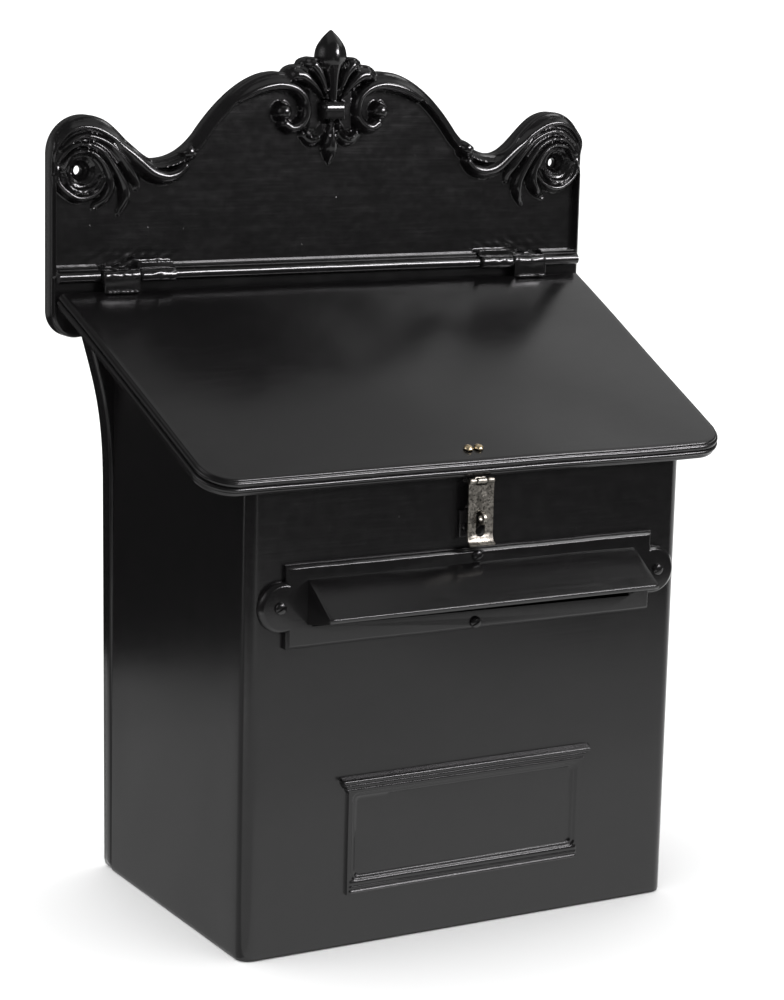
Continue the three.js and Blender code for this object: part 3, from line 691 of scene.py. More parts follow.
def crest(relief):
    """Fleur-de-lis between two volutes: stem, petals, collar, drop and the arch's roll."""
    near = relief.x < 60
    pad = FIELD_H + 2.2 * smooth_step(18 - relief.x, 0, 3) * smooth_step(relief.z, 474, 480)
    relief.height = np.where(near & (relief.z > 470), np.maximum(relief.height, pad), relief.height)
    roll = [(66, 498), (56, 503.4), (46, 506.4), (37, 507.4), (28, 505.4), (21.6, 500.8),
            (18.7, 494.5), (19.2, 487.2), (23.2, 481.9), (29, 480), (34, 482.6)]
    relief.ridge(roll, [2.4, 3.8, 4.3, 4.3, 4.1, 3.9, 3.8, 3.8, 4.0, 4.2],
                 [13.6, 14.8, 15.2, 15.4, 15.6, 15.6, 15.6, 15.6, 15.4, 15], foot=8)
    relief.ball((35.4, 490.2), 5.6, 17.2, blend=0.4)
    relief.ridge([(6.5, 499), (10, 503.5), (15.5, 509), (21, 513), (25.6, 513.6)],
                 [1.2, 2.2, 3.4, 4.6, 5.0], [14, 14.6, 15, 15.2, 15], foot=8)
    relief.ridge([(4.2, 499), (6.4, 507), (9.6, 514.5), (14, 519.8)],
                 [1.3, 2.3, 3.8, 5.2], [15, 15.4, 15.8, 15.8], foot=8)
    relief.ridge([(0, 497), (0, 508), (0, 516), (0, 523)], [3.6, 3.9, 5.0, 8.5],
                 [16.2, 16.4, 16.8, 17.4], foot=8, blend=0.4)
    relief.groove([(5.6, 499.4), (8.6, 504), (11, 509), (15.6, 516.5), (20, 519.5)], 0.7, 1.5)
    relief.groove([(4.6, 499.5), (5.0, 508), (7.2, 515.5), (10.2, 521)], 0.6, 1.3)
    relief.ridge([(0, 486), (0, 478), (0, 470), (0, 463), (0, 457.2)], [2.4, 2.9, 4.6, 5.8, 4.6, 1.2],
                 [13.4, 14.2, 14.8, 14.8, 13, 9], blend=0.6)
    relief.ridge([(4.5, 483), (8, 475.5), (13.5, 472.4), (19.5, 475.5)],
                 [2.2, 4.4, 4.8, 3.2], [11.4, 11.8, 11.6, 10.6])
    relief.ridge([(4.8, 482.5), (6.6, 477.6), (11.3, 473.8), (16.6, 474.9), (18.6, 478.6)],
                 [1.0, 1.2, 1.3, 1.0], [13.4, 13.8, 13.8, 13], foot=10, blend=0.3)
    relief.groove([(1.4, 485), (1.7, 474)], 0.5, 0.8)
    inside = np.minimum(8.4 - relief.x, np.minimum(relief.z - 484.6, 498.2 - relief.z))
    upper_band = 0.8 * np.exp(-(((relief.z - 496.6) / 0.9) ** 2))
    lower_band = 0.6 * np.exp(-(((relief.z - 492.6) / 0.8) ** 2))
    rise = 9.0 * np.sin(np.clip(inside / 1.6, 0, 1) * math.pi / 2)
    collar = 8.0 + rise + (upper_band + lower_band)
    relief.height = np.where(inside > 0, np.maximum(relief.height, collar), relief.height)


def hinge_rail(relief):
    """The bead that closes the hinge line, with a quirk above it, and filler by the hinges."""
    x, z = relief.x, relief.z
    beside = (x < KNUCKLE_INNER_X - GAP) | ((x > KNUCKLE_OUTER_X + GAP) & (x < PLATE_HALF - 3))
    off = np.abs(z - HINGE_Z)
    bead_r = 3.6
    bead = 14.2 + np.sqrt(np.maximum(bead_r**2 - off**2, 0)) - 5 * np.maximum(off - bead_r, 0)
    quirk = 12.0 + 2.6 * np.exp(-(((z - HINGE_Z - 4.2) / 0.8) ** 2))
    rail = np.maximum(bead, np.where(np.abs(z - HINGE_Z - 4.2) < 2.2, quirk, 0))
    raised = np.maximum(relief.height, rail)
    relief.height = np.where(beside & (off < 8), raised, relief.height)
    by_hinge = np.exp(-(((x - 137) / 26) ** 2) - ((z - HINGE_Z - 8) / 7) ** 2)
    relief.height += 0.22 * by_hinge * waves(np.stack([x, z], -1), 6, seed=8)


def plate_relief():
    relief = Relief(np.arange(0, PLATE_HALF + 3, PLATE_GRID), plate_rows())
    outline = plate_outline()
    depth = inside_depth(relief, outline)
    border(relief, depth)
    crest(relief)
    ear(relief)
    hinge_rail(relief)
    pocket = (relief.x < 130) & (relief.z > 24) & (relief.z < 340)
    relief.height = np.where(pocket, RIM_H - 6, relief.height)
    return relief, outline, depth


def traced(xs, zs, depth, inset):
    """Cells of the grid deeper than `inset`, cut along that line; returns vertices as
    (place, pair of grid corners and share), faces and boundary loops."""
    columns = len(xs)
    keep = depth > inset
    places = []
    blends = []
    index = {}

    def corner(j, i):
        key = j * columns + i
        if key not in index:
            index[key] = len(places)
            places.append((xs[i], zs[j]))
            blends.append((j, i, j, i, 0.0))
        return index[key]

    def crossing(a, b):
        key = (min(a, b), max(a, b))
        if key not in index:
            (ja, ia), (jb, ib) = key
            share = (inset - depth[ja, ia]) / (depth[jb, ib] - depth[ja, ia])
            share = min(max(share, 0.02), 0.98)
            index[key] = len(places)
            places.append((xs[ia] + share * (xs[ib] - xs[ia]), zs[ja] + share * (zs[jb] - zs[ja])))
            blends.append((ja, ia, jb, ib, share))
        return index[key]

    faces = []
    after = {}
    some = keep[:-1, :-1] | keep[1:, :-1] | keep[:-1, 1:] | keep[1:, 1:]
    for j, i in zip(*np.nonzero(some)):
        ring = [(j, i), (j, i + 1), (j + 1, i + 1), (j + 1, i)]
        face = []
        left = None
        first = None
        for a, b in zip(ring, ring[1:] + ring[:1]):
            if keep[a]:
                face.append(corner(*a))
            if keep[a] != keep[b]:
                cut = crossing(a, b)
                face.append(cut)
                if keep[a]:
                    left = cut
                elif left is None:
                    first = cut
                else:
                    after[left] = cut
                    left = None
        if first is not None:
            after[left] = first
        faces.append(face)
    loops = []
    while after:
        start = next(iter(after))
        loop = [start]
        following = after.pop(start)
        while following != start:
            loop.append(following)
            following = after.pop(following)
        loops.append(loop)
    return np.array(places), blends, faces, loops


def whole_width(relief, depth):
    """The right half and its mirror image as one grid."""
    xs = np.concatenate([-relief.xs[:0:-1], relief.xs])
    grids = [np.concatenate([grid[:, :0:-1], grid], axis=1) for grid in (relief.height, depth)]
    return xs, *grids


def nearest_places(places, path):
    """The nearest place on a closed path for each of some places."""
    starts, ends = path, np.roll(path, -1, axis=0)
    runs = ends - starts
    found = np.empty_like(places)
    for k, place in enumerate(places):
        t = ((place - starts) * runs).sum(1) / np.maximum((runs * runs).sum(1), 1e-9)
        spots = starts + np.clip(t, 0, 1)[:, None] * runs
        found[k] = spots[np.argmin(((spots - place) ** 2).sum(1))]
    return found


def plate_solid():
    """The casting: relief in front, a rounded edge, a flat rear, and the eyes right through."""
    relief, outline, depth = plate_relief()
    inset = 2.0
    hole = np.hypot(relief.x - EYE[0], relief.z - EYE[1]) - EYE_HOLE_R + inset
    depth = np.minimum(depth, hole)
    xs, height, depth = whole_width(relief, depth)
    plan = np.stack(np.meshgrid(xs, relief.zs), -1)
    height = height + 0.10 * waves(plan, 34, seed=2)
    height = height + 0.02 * waves(plan, 9, seed=3)
    flat, blends, faces, loops = traced(xs, relief.zs, depth, inset)
    tall = np.array([height[ja, ia] * (1 - s) + height[jb, ib] * s for ja, ia, jb, ib, s in blends])
    points = [np.column_stack([flat[:, 0], WALL_Y - tall, flat[:, 1]])]
    count = len(flat)
    edge = np.vstack([outline, (outline * [-1, 1])[-2:0:-1]])
    backs = []
    for loop in loops:
        inner = flat[loop]
        rings = []
        is_eye = len(loop) < 120
        if not is_eye:
            rim = nearest_places(inner, edge)
            away = rim - inner
            for turn in np.radians([20, 40, 60, 78, 90]):
                drop = PLATE_EDGE_R * (1 - math.cos(turn))
                rings.append((inner + away * math.sin(turn), tall[loop] - drop))
            rings.append((rim, np.full(len(loop), 0.7)))
            inner = inner + away * 0.7
        rings.append((inner, np.zeros(len(loop))))
        previous = list(loop)
        for spots, heights in rings:
            points.append(np.column_stack([spots[:, 0], WALL_Y - heights, spots[:, 1]]))
            ring = list(range(count, count + len(loop)))
            count += len(loop)
            for k in range(len(loop)):
                n = (k + 1) % len(loop)
                faces.append([previous[n], previous[k], ring[k], ring[n]])
            previous = ring
        backs.append(previous)
    points = np.vstack(points)
    outer_first = sorted(backs, key=len, reverse=True)
    flat_order = [i for loop in outer_first for i in loop]
    fills = tessellate_polygon([[Vector((*points[i][[0, 2]], 0)) for i in loop] for loop in outer_first])
    for triangle in fills:
        a, b, c = (points[flat_order[i]][[0, 2]] for i in triangle)
        clockwise = (b - a)[0] * (c - a)[1] - (b - a)[1] * (c - a)[0] < 0
        order = triangle if clockwise else triangle[::-1]
        faces.append([flat_order[i] for i in order])
    return points, faces


def bud_solid():
    """Pointed bud of the crest, with a soft keel down its front."""
    half = smooth_path([(5, -12), (8.8, -7), (10.8, -1.5), (9.7, 5.2), (5.9, 11.2), (1.2, 16)], 1.2)
    profile = np.vstack([[(0, -13)], half, [(0, 16.6)]])
    points, faces = lathe(profile, (0, 0, 0), (0, 0, 1), 48)
    facing = np.arctan2(points[:, 0], -points[:, 1])
    keel = 1 + 0.07 * np.exp(-((facing / 0.3) ** 2))
    points = points * np.column_stack([np.ones(len(points)), 0.9 * keel, np.ones(len(points))])
    points = points + [0, BUD_Y, BUD_Z]
    points[:, 1] = np.minimum(points[:, 1], WALL_Y)
    return points, faces


def back_screw_hole(x, z):
    """The solid of a countersunk hole from behind."""
    shaft = 2 + GAP
    profile = [(0, -1), (4.6, -1), (4.6, 0.4), (shaft, 3), (shaft, 30), (0, 30)]
    return lathe(profile, (x, WALL_Y, z), (0, -1, 0), 24)


def make_back_plate():
    plate = new_object("fine_back_plate", plate_solid())
    combine(plate, [bud_solid()], "UNION")
    combine(plate, [merged(*[back_screw_hole(x, z) for x, z in BACK_SCREWS])], "DIFFERENCE")
    finish_piece(plate, "back_plate", "box", ENAMEL, sharp=50)


# ---- box shell -----------------------------------------------------------------------------
def lid_top_z(y):
    return LID_REAR_Z + (y - LID_REAR_Y) * math.tan(LID_TILT)


def lid_drop_z(y, depth):
    return lid_top_z(y) - depth / math.cos(LID_TILT)


def wall_path(margin):
    """Plan of the walls from the left rear round the front, at a margin inside the outer face."""
    half = BOX_HALF - margin
    front = FRONT_Y + margin
    radius = CORNER_R - margin
    centre = BOX_HALF - CORNER_R
    side = np.linspace(REAR_Y, FRONT_Y + CORNER_R, 26)[:-1]
    turn = np.radians(np.linspace(180, 270, 13))
    left = np.column_stack([-half * np.ones(25), side])
    corner = np.column_stack([-centre + radius * np.cos(turn), FRONT_Y + CORNER_R + radius * np.sin(turn)])
    edge = np.arange(77, 92, 0.6)
    columns = np.concatenate([np.arange(0, 77, 1.4), edge, np.linspace(94, centre, 9)[:-1]])
    middle = np.concatenate([-columns[:0:-1], columns])
    face = np.column_stack([middle, np.full(len(middle), front)])
    right = corner[::-1] * [-1, 1]
    return np.vstack([left, corner, face, right, left[::-1] * [-1, 1]])


def rounded_depth(x, z, low, high, radius):
    """Depth inside a rounded rectangle, in the front face's plane."""
    centre = (np.array(low) + high) / 2
    half = (np.array(high) - low) / 2 - radius
    dx = np.abs(x - centre[0]) - half[0]
    dz = np.abs(z - centre[1]) - half[1]
    outside = np.hypot(np.maximum(dx, 0), np.maximum(dz, 0))
    return radius - outside - np.minimum(np.maximum(dx, dz), 0)


def name_frame(x, z):
    """How far the name frame stands out of the front face."""
    rails = 2.4 * smooth_step(rounded_depth(x, z, (-84, 32.5), (84, 101), 0.8), 0, 0.9)
    step = 1.0 * smooth_step(rounded_depth(x, z, (-80.4, 41.5), (80.4, 96.4), 4), 0, 0.7)
    panel = 1.2 * smooth_step(rounded_depth(x, z, (-78, 43.6), (78, 94.2), 3), 0, 0.8)
    rough = 0.10 * waves(np.stack([x, z], -1), 5, seed=12) * (panel > 1.4)
    height = rails - step - panel + rough
    cornice_half = 84 + 5.2 * np.clip((z - 97) / 8, 0, 1)
    ends = smooth_step(cornice_half - np.abs(x), 0, 0.9)
    steps = np.interp(z, [96.4, 97.2, 99.2, 99.8, 100.4, 102.2, 102.8, 103.4, 104.6, 105.8, 106.8],
                      [0, 3.3, 3.5, 2.9, 4.5, 4.6, 4.0, 5.6, 6.0, 5.4, 0])
    height = np.maximum(height, steps * ends)
    sill_ends = smooth_step(82 - np.abs(x), 0, 0.9)
    sill = np.interp(z, [32.6, 33.4, 34.4, 35.4, 36, 36.8, 37.6, 38.6, 39.4, 40.2, 41.4, 42.2],
                     [0, 3.0, 3.6, 3.2, 2.5, 3.1, 3.2, 2.6, 2.9, 3.0, 2.6, 0])
    return np.maximum(height, sill * sill_ends)


def wall_rows():
    """Heights of the rows of the outer face up to the name frame, then shares of what is left."""
    low = np.concatenate([[0, 0.5, 1.4], np.linspace(5, 30, 6), np.arange(31.4, 45, 0.5),
                          np.arange(45, 94, 1.2), np.arange(94, 108, 0.5), [109]])
    return low, np.linspace(0, 1, 34)[1:]


def shell_solid():
    """Rows round the walls: up the outside, over the lip, down the inside to the bottom."""
    low, shares = wall_rows()
    outer = wall_path(0)
    loops = []
    top = lid_drop_z(outer[:, 1], LID_T + GAP)
    base = wall_path(1.0)
    loops.append((base, np.zeros(len(base))))
    loops.append((wall_path(0.3), np.full(len(base), 0.3)))
    for z in low[2:]:
        loops.append((outer, np.full(len(outer), z)))
    for share in shares:
        loops.append((outer, low[-1] + share * (top - 0.8 - low[-1])))
    for margin, fall in ((0.25, 0.25), (0.9, 0), (WALL - 0.9, 0), (WALL - 0.25, 0.25), (WALL, 0.8)):
        path = wall_path(margin)
        loops.append((path, lid_drop_z(path[:, 1], LID_T + GAP) - fall))
    inner = wall_path(WALL)
    inner_top = lid_drop_z(inner[:, 1], LID_T + GAP) - 0.8
    for share in np.linspace(1, 0, 12)[1:]:
        loops.append((inner, WALL + 1.5 + share * (inner_top - WALL - 1.5)))
    loops.append((wall_path(WALL + 1.5), np.full(len(inner), WALL)))
    grid = np.array([np.column_stack([plan, z]) for plan, z in loops])
    rows, count = grid.shape[:2]
    front = np.abs(grid[..., 1] - FRONT_Y) < 0.01
    grid[..., 1] -= np.where(front, name_frame(grid[..., 0], grid[..., 2]), 0)
    inner_rows = 17
    facing = (np.arange(rows) < rows - inner_rows)[:, None]
    slow = 0.22 * waves(grid, 90, seed=21) * facing * smooth_step(grid[..., 2], 2, 12)
    side = np.abs(np.abs(grid[..., 0]) - BOX_HALF) < 0.01
    inward = (0.22 + 0.6 * slow) * facing
    by_corner = smooth_step(BOX_HALF - CORNER_R - np.abs(grid[..., 0]), 0, 35)
    grid[..., 1] += np.where(front, inward * by_corner, 0)
    by_ends = smooth_step(grid[..., 1], FRONT_Y + CORNER_R, FRONT_Y + CORNER_R + 35)
    by_ends *= smooth_step(REAR_Y - grid[..., 1], 0, 25)
    grid[..., 0] -= np.where(side, np.sign(grid[..., 0]) * inward * by_ends, 0)
    faces = grid_faces(rows, count)
    last = (rows - 1) * count
    faces.append(list(range(count))[::-1])
    faces.append([last + k for k in range(count)])
    left = [row * count for row in range(rows)]
    right = [row * count + count - 1 for row in range(rows)]
    faces.append(left + right[::-1])
    return consistent(grid.reshape(-1, 3), faces)


def screw_boss(x, z):
    side = math.copysign(1, x)
    inner, outer = side * (BOX_HALF - 19), side * (BOX_HALF - WALL + 1)
    low = (min(inner, outer), REAR_Y - 20, z - 7)
    return block(low, (max(inner, outer), REAR_Y, z + 7))


def rear_rail():
    """The rail along the box's rear edge, under the lid."""
    front = REAR_Y - 16
    foot = 356
    tops = [(y, lid_drop_z(y, LID_T + GAP)) for y in (REAR_Y, front)]
    return prism([(front, foot), (REAR_Y, foot)] + tops, "x", -BOX_HALF + 1, BOX_HALF - 1)


def staple_holes(y, depth):
    """Holes for the staple's two screws and its shank."""
    small = [bore(x, y, z, SMALL_HOLE_R, depth) for x, z in STAPLE_SCREWS.values()]
    return small + [bore(0, y, STAPLE_Z, BOLT_HOLE_R, depth)]


def make_box_shell():
    shell = new_object("fine_box_shell", shell_solid())
    combine(shell, [rear_rail()] + [screw_boss(x, z) for x, z in BACK_SCREWS], "UNION")
    slot = block((-114, FRONT_Y - 1, 199.4), (114, FRONT_Y + WALL + 1, 230.2))
    notch = block((-14, FRONT_Y - 1, 285), (14, FRONT_Y + WALL + 1, 300))
    holes = [bore(x, FRONT_Y - 2, z, BOLT_HOLE_R, 9) for x, z in PLATE_SCREWS.values()]
    holes += staple_holes(FRONT_Y - 2, 9)
    holes += [back_screw_hole(x, z) for x, z in BACK_SCREWS]
    combine(shell, [merged(slot, notch, *holes)], "DIFFERENCE")
    finish_piece(shell, "box_shell", "box", ENAMEL_SHEET, sharp=45)


# ---- lid -----------------------------------------------------------------------------------
# Drawn flat: x across, reach forward from the rear edge, and height over the top face.
def on_slope(x, reach, height):
    """Places on the lid as it lies closed."""
    c, s = math.cos(LID_TILT), math.sin(LID_TILT)
    y = LID_REAR_Y - reach * c - height * s
    z = LID_REAR_Z - reach * s + height * c
    return np.stack(np.broadcast_arrays(x, y, z), axis=-1)


def lid_side(margin):
    """Half width and reach of the lid's edge, from the rear to the front corner's end."""
    lean = math.atan2(LID_REAR_HALF - LID_FRONT_HALF, LID_LENGTH)
    radius = LID_CORNER_R - margin
    centre = (LID_FRONT_HALF - LID_CORNER_R, LID_LENGTH - LID_CORNER_R)
    turn = np.linspace(-lean, math.pi / 2, 19)
    bend = np.column_stack([centre[0] + radius * np.cos(turn), centre[1] + radius * np.sin(turn)])
    rear = np.array([LID_REAR_HALF - margin, 0.0])
    straight = rear + (bend[0] - rear) * np.linspace(0, 1, 42)[:-1, None]
    return np.vstack([straight, bend])


LID_COLUMNS = np.linspace(-1, 1, 121)


def lid_edge_section():
    """Edge moulding as pairs of margin and height: two beads, a lower flat and the lip."""
    upper = [(6, 0), (3.6, 0), (2.7, -0.25), (2.35, -0.7), (2.3, -1.2)]
    turn = np.radians(range(10, 180, 17))
    bead_1 = [(2.3 - 1.55 * math.sin(a), -1.5 - 1.65 * (1 - math.cos(a))) for a in turn]
    quirk = [(1.9, -4.95)]
    bead_2 = [(1.75 - 1.75 * math.sin(a), -5.1 - 1.55 * (1 - math.cos(a))) for a in turn]
    lower = [(1.6, -8.35), (1.25, -8.5), (1.2, -10.2), (1.5, -10.7), (2.0, -LID_EDGE_T)]
    under = [(4.4, -LID_EDGE_T), (5.0, -10.5), (5.2, -10), (5.2, -7), (5.9, -6.15), (7.5, -LID_T)]
    return upper + bead_1 + quirk + bead_2 + lower + under


def lid_loop(margin):
    """Points round the edge from the right rear corner to the left rear corner."""
    side = lid_side(margin)
    half = side[-1][0]
    front = np.column_stack([LID_COLUMNS[::-1] * half, np.full(len(LID_COLUMNS), side[-1][1])])
    return np.vstack([side[:-1], front, side[::-1][1:] * [-1, 1]])


def lid_solid():
    """The edge moulding as rows round three sides, closed by grids above, below and behind."""
    section = lid_edge_section()
    loops = np.array([placed(lid_loop(margin), "z", height) for margin, height in section])
    rows, count = loops.shape[:2]
    points = [loops.reshape(-1, 3)]
    faces = grid_faces(rows, count)
    total = rows * count

    def cover(edge_row, height):
        """A grid over the whole width that meets the edge's loop."""
        nonlocal total
        margin = section[edge_row][0]
        side = lid_side(margin)
        stations = len(side)
        columns = len(LID_COLUMNS)
        index = np.zeros((stations, columns), int)
        start = edge_row * count
        inner = []
        for j, (half, reach) in enumerate(side):
            for i, share in enumerate(LID_COLUMNS):
                if i == columns - 1:
                    index[j, i] = start + j
                elif i == 0:
                    index[j, i] = start + count - 1 - j
                elif j == stations - 1:
                    index[j, i] = start + stations - 1 + columns - 1 - i
                else:
                    index[j, i] = total + len(inner)
                    inner.append((share * half, reach, height))
        points.append(np.array(inner))
        total += len(inner)
        for j in range(stations - 1):
            for i in range(columns - 1):
                faces.append([index[j, i], index[j, i + 1], index[j + 1, i + 1], index[j + 1, i]])
        return index

    top = cover(0, 0.0)
    bottom = cover(rows - 1, -LID_T)
    right_end = [row * count for row in range(rows)]
    left_end = [row * count + count - 1 for row in range(rows)]
    rear = right_end + list(bottom[0][::-1][1:-1]) + left_end[::-1] + list(top[0][1:-1])
    faces.append(rear)
    flat = np.vstack(points)
    x, reach, height = flat.T
    plan = np.column_stack([x, reach])
    lift = 0.25 * waves(plan, 130, seed=31) + 0.02 * waves(plan, 34, seed=32)
    lift = lift * smooth_step(reach, 0, 20) - 0.45 * smooth_step(reach, 120, 205)
    return consistent(on_slope(x, reach, height + lift), faces)


def laid_on_lid(solid):
    """A solid drawn flat like the lid, put where it lies when the lid is closed."""
    points, faces = solid
    return consistent(on_slope(*points.T), faces)


def make_lid():
    lid = new_object("fine_lid", lid_solid())
    pad = block((-12, LID_LENGTH - 22, -LID_EDGE_T), (12, LID_LENGTH - 4, -LID_T + 1.2))
    combine(lid, [laid_on_lid(pad)], "UNION")
    finish_piece(lid, "lid", "lid", ENAMEL_SHEET, sharp=50)


# ---- hinges --------------------------------------------------------------------------------
def barrel(x0, x1, radius, bore_r, lumps, seed):
    """A bored barrel along x with soft ends and an uneven painted surface."""
    soft = 0.7
    inner = [(bore_r, x0), (bore_r, x1)]
    stations = np.linspace(x0 + soft, x1 - soft, 18)
    outer = [(radius - soft, x1), (radius - 0.2, x1 - 0.25)]
    outer += [(radius, x) for x in stations[::-1]]
    outer += [(radius - 0.2, x0 + 0.25), (radius - soft, x0)]
    points, faces = lathe(inner + outer, (0, 0, 0), (1, 0, 0), 40)
    away = np.hypot(points[:, 1], points[:, 2])
    grow = 1 + np.where(away > radius - 0.1, lumps * waves(points, 5, seed) / radius, 0)
    return points * np.column_stack([np.ones(len(points)), grow, grow]), faces


def weld(start, end, radius, seed):
    """A lumpy run of weld and filler between two places."""
    start, end = np.array(start, float), np.array(end, float)
    rng = np.random.default_rng(seed)
    steps = 26
    turn = np.linspace(0, 2 * math.pi, 14, endpoint=False)
    loops = []
    for k in range(steps + 1):
        centre = start + (end - start) * k / steps
        taper = 0.35 if k in (0, steps) else 1
        swell = radius * (1 + 0.35 * math.sin(k * 1.9) * rng.uniform(0.3, 1)) * taper
        loops.append(centre + swell * np.column_stack([0 * turn, np.cos(turn), np.sin(turn)]))
    return loft(loops)


def knuckle(x0, x1, seed):
    return moved(barrel(x0, x1, KNUCKLE_R, PIN_R + GAP, 0.16, seed), HINGE_AXIS_AT)


def weld_across(x0, x1, y, z, radius, seed):
    return weld((x0 + 1, y, z), (x1 - 1, y, z), radius, seed)


def make_hinge(side):
    """Two knuckles on a pin: the inner one is on the back plate, the outer one on the lid."""
    sign = 1 if side == "right" else -1
    facing = (lambda solid: solid) if side == "right" else mirrored
    seed = 40 + sign

    x0, x1 = KNUCKLE_INNER_X, KNUCKLE_JOINT_X - GAP / 2
    fixed = new_object(f"fine_hinge_plate_knuckle_{side}", facing(knuckle(x0, x1, seed)))
    rear = WALL_Y - RIM_H - GAP
    leaf_foot = HINGE_Z + 2.4
    leaf = new_object("leaf", facing(block((x0, rear - 2.2, leaf_foot), (x1, rear, LEAF_TOP_Z))))
    round_edges(leaf, 0.7)
    bead = weld_across(x0, x1, rear - 1.1, LEAF_TOP_Z - 0.5, 0.9, seed)
    combine(leaf, [facing(bead)], "UNION")
    use_tool(fixed, leaf, "UNION")
    finish_piece(fixed, f"hinge_plate_knuckle_{side}", "box", ENAMEL_THICK)

    x0, x1 = KNUCKLE_JOINT_X + GAP / 2, KNUCKLE_OUTER_X
    swinging = new_object(f"fine_hinge_lid_knuckle_{side}", facing(knuckle(x0, x1, seed + 5)))
    feet = [(y, lid_top_z(y) + GAP) for y in (LID_REAR_Y - 2.6, LID_REAR_Y - 0.1)]
    section = [(HINGE_Y - KNUCKLE_R + 0.25, HINGE_Z - 0.5), *feet,
               (HINGE_Y - 1.2, HINGE_Z - KNUCKLE_R + 0.5), (HINGE_Y - 2.4, HINGE_Z - 2.6)]
    apron = new_object("apron", facing(prism(section, "x", x0 + 0.3, x1 - 0.3)))
    round_edges(apron, 0.35)
    toe = LID_REAR_Y - 3.4
    bead = weld_across(x0, x1, toe, lid_top_z(toe) + 1.5, 1.05, seed + 9)
    combine(apron, [facing(bead)], "UNION")
    use_tool(swinging, apron, "UNION")
    finish_piece(swinging, f"hinge_lid_knuckle_{side}", "lid", ENAMEL_THICK)

    node = f"hinge_pin_{side}"
    pin = pin_solid(KNUCKLE_INNER_X + 0.5, KNUCKLE_OUTER_X - 0.5, PIN_R, 0.4, HINGE_AXIS_AT, 32)
    finish_piece(new_object(f"fine_{node}", facing(pin)), node, body_of(node), ZINC)


def pin_solid(start, end, radius, chamfer, place, sides):
    """A pin along x with chamfered ends."""
    half = [(0, start), (radius - chamfer, start), (radius, start + chamfer)]
    other = [(radius, end - chamfer), (radius - chamfer, end), (0, end)]
    return lathe(half + other, place, (1, 0, 0), sides)


def body_of(node):
    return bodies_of(frame["nodes"][node])[0]


# ---- hasp and staple -----------------------------------------------------------------------
def strip(centre_line, thickness, x0, x1):
    """A bent strip: a thick line in the side view, swept across."""
    line = smooth_path(centre_line, 0.5)
    along = np.gradient(line, axis=0)
    along /= np.linalg.norm(along, axis=1)[:, None]
    normal = np.column_stack([-along[:, 1], along[:, 0]]) * thickness / 2
    section = np.vstack([line + normal, (line - normal)[::-1]])
    return prism(section, "x", x0, x1)


def hasp_tube(x0, x1):
    return moved(barrel(x0, x1, HASP_TUBE_R, HASP_BORE_R, 0, 1), HASP_AXIS_AT)


def make_hasp_leaf():
    """The leaf under the lid, with a tongue that runs to the middle tube of the joint."""
    top = LID_EDGE_T + GAP
    reach = LID_LENGTH - 20.5
    flat = block((-STRAP_HALF, reach, -top - STRAP_T), (STRAP_HALF, reach + 16.2, -top))
    leaf = new_object("fine_hasp_leaf", laid_on_lid(flat))
    round_edges(leaf, 0.3, 2)
    y = HASP_Y + 5.6
    tongue = strip([(HASP_Y + 1.0, HASP_Z + 1.4), (HASP_Y + 2.4, HASP_Z + 1.2),
                    (y, lid_drop_z(y, top + STRAP_T / 2))], STRAP_T, -TONGUE_HALF, TONGUE_HALF)
    combine(leaf, [tongue, hasp_tube(-TONGUE_HALF, TONGUE_HALF)], "UNION")
    finish_piece(leaf, "hasp_leaf", "lid", STEEL)


def make_hasp_strap():
    """The hanging strap with its slot, finger lip and two outer tubes."""
    hang = [(HASP_Y, HASP_Z - 1), (HASP_Y, 270), (HASP_Y, 256), (HASP_Y - 0.1, 249.5),
            (HASP_Y - 1.4, 245.4), (HASP_Y - 3.9, 243.6)]
    strap = new_object("fine_hasp_strap", strip(hang, STRAP_T, -STRAP_HALF, STRAP_HALF))
    slot_half = 3.2
    ends = [arc((0, 261.4), slot_half, 0, 180), arc((0, 251.6), slot_half, 180, 360)]
    slot = prism(np.vstack(ends), "y", HASP_Y - 6, HASP_Y + 5)
    inner = TONGUE_HALF + GAP
    window = block((-inner, HASP_Y - 5, HASP_Z - 2.6), (inner, HASP_Y + 5, HASP_Z + 5))
    combine(strap, [slot], "DIFFERENCE")
    round_edges(strap, 0.28, 2, angle=50)
    combine(strap, [hasp_tube(-STRAP_HALF, -inner), hasp_tube(inner, STRAP_HALF)], "UNION")
    combine(strap, [window], "DIFFERENCE")
    finish_piece(strap, "hasp_strap", "hasp", STEEL)


def make_hasp():
    make_hasp_leaf()
    make_hasp_strap()
    half = STRAP_HALF - 0.3
    pin = lathe([(0, -half), (0.7, -half), (0.9, 0.3 - half), (0.9, half - 0.3), (0.7, half), (0, half)],
                HASP_AXIS_AT, (1, 0, 0), 24)
    made = new_object("fine_hasp_pin", pin)
    finish_piece(made, "hasp_pin", body_of("hasp_pin"), STEEL)

    tail = -LID_EDGE_T - 2 * GAP - STRAP_T
    rivet = [(0, tail - 1), (1.7, tail - 1), (2, tail - 0.7), (2, tail), (1.2, tail), (1.2, GAP),
             (2.8, GAP), (3, 0.5), (2.85, 1.0), (2.4, 1.5), (1.7, 1.88), (0.9, 2.06), (0, 2.1)]
    rivet_reach = (LID_REAR_Y - RIVET_Y) / math.cos(LID_TILT)
    for side, x in (("left", -RIVET_X), ("right", RIVET_X)):
        upright_rivet, faces = lathe(rivet, (x, 0, 0), (0, 0, 1), 32)
        across, along, height = upright_rivet.T
        spots = on_slope(across, rivet_reach - along, height)
        made = new_object(f"fine_hasp_rivet_{side}", (spots, faces))
        finish_piece(made, f"hasp_rivet_{side}", "lid", BRASS)


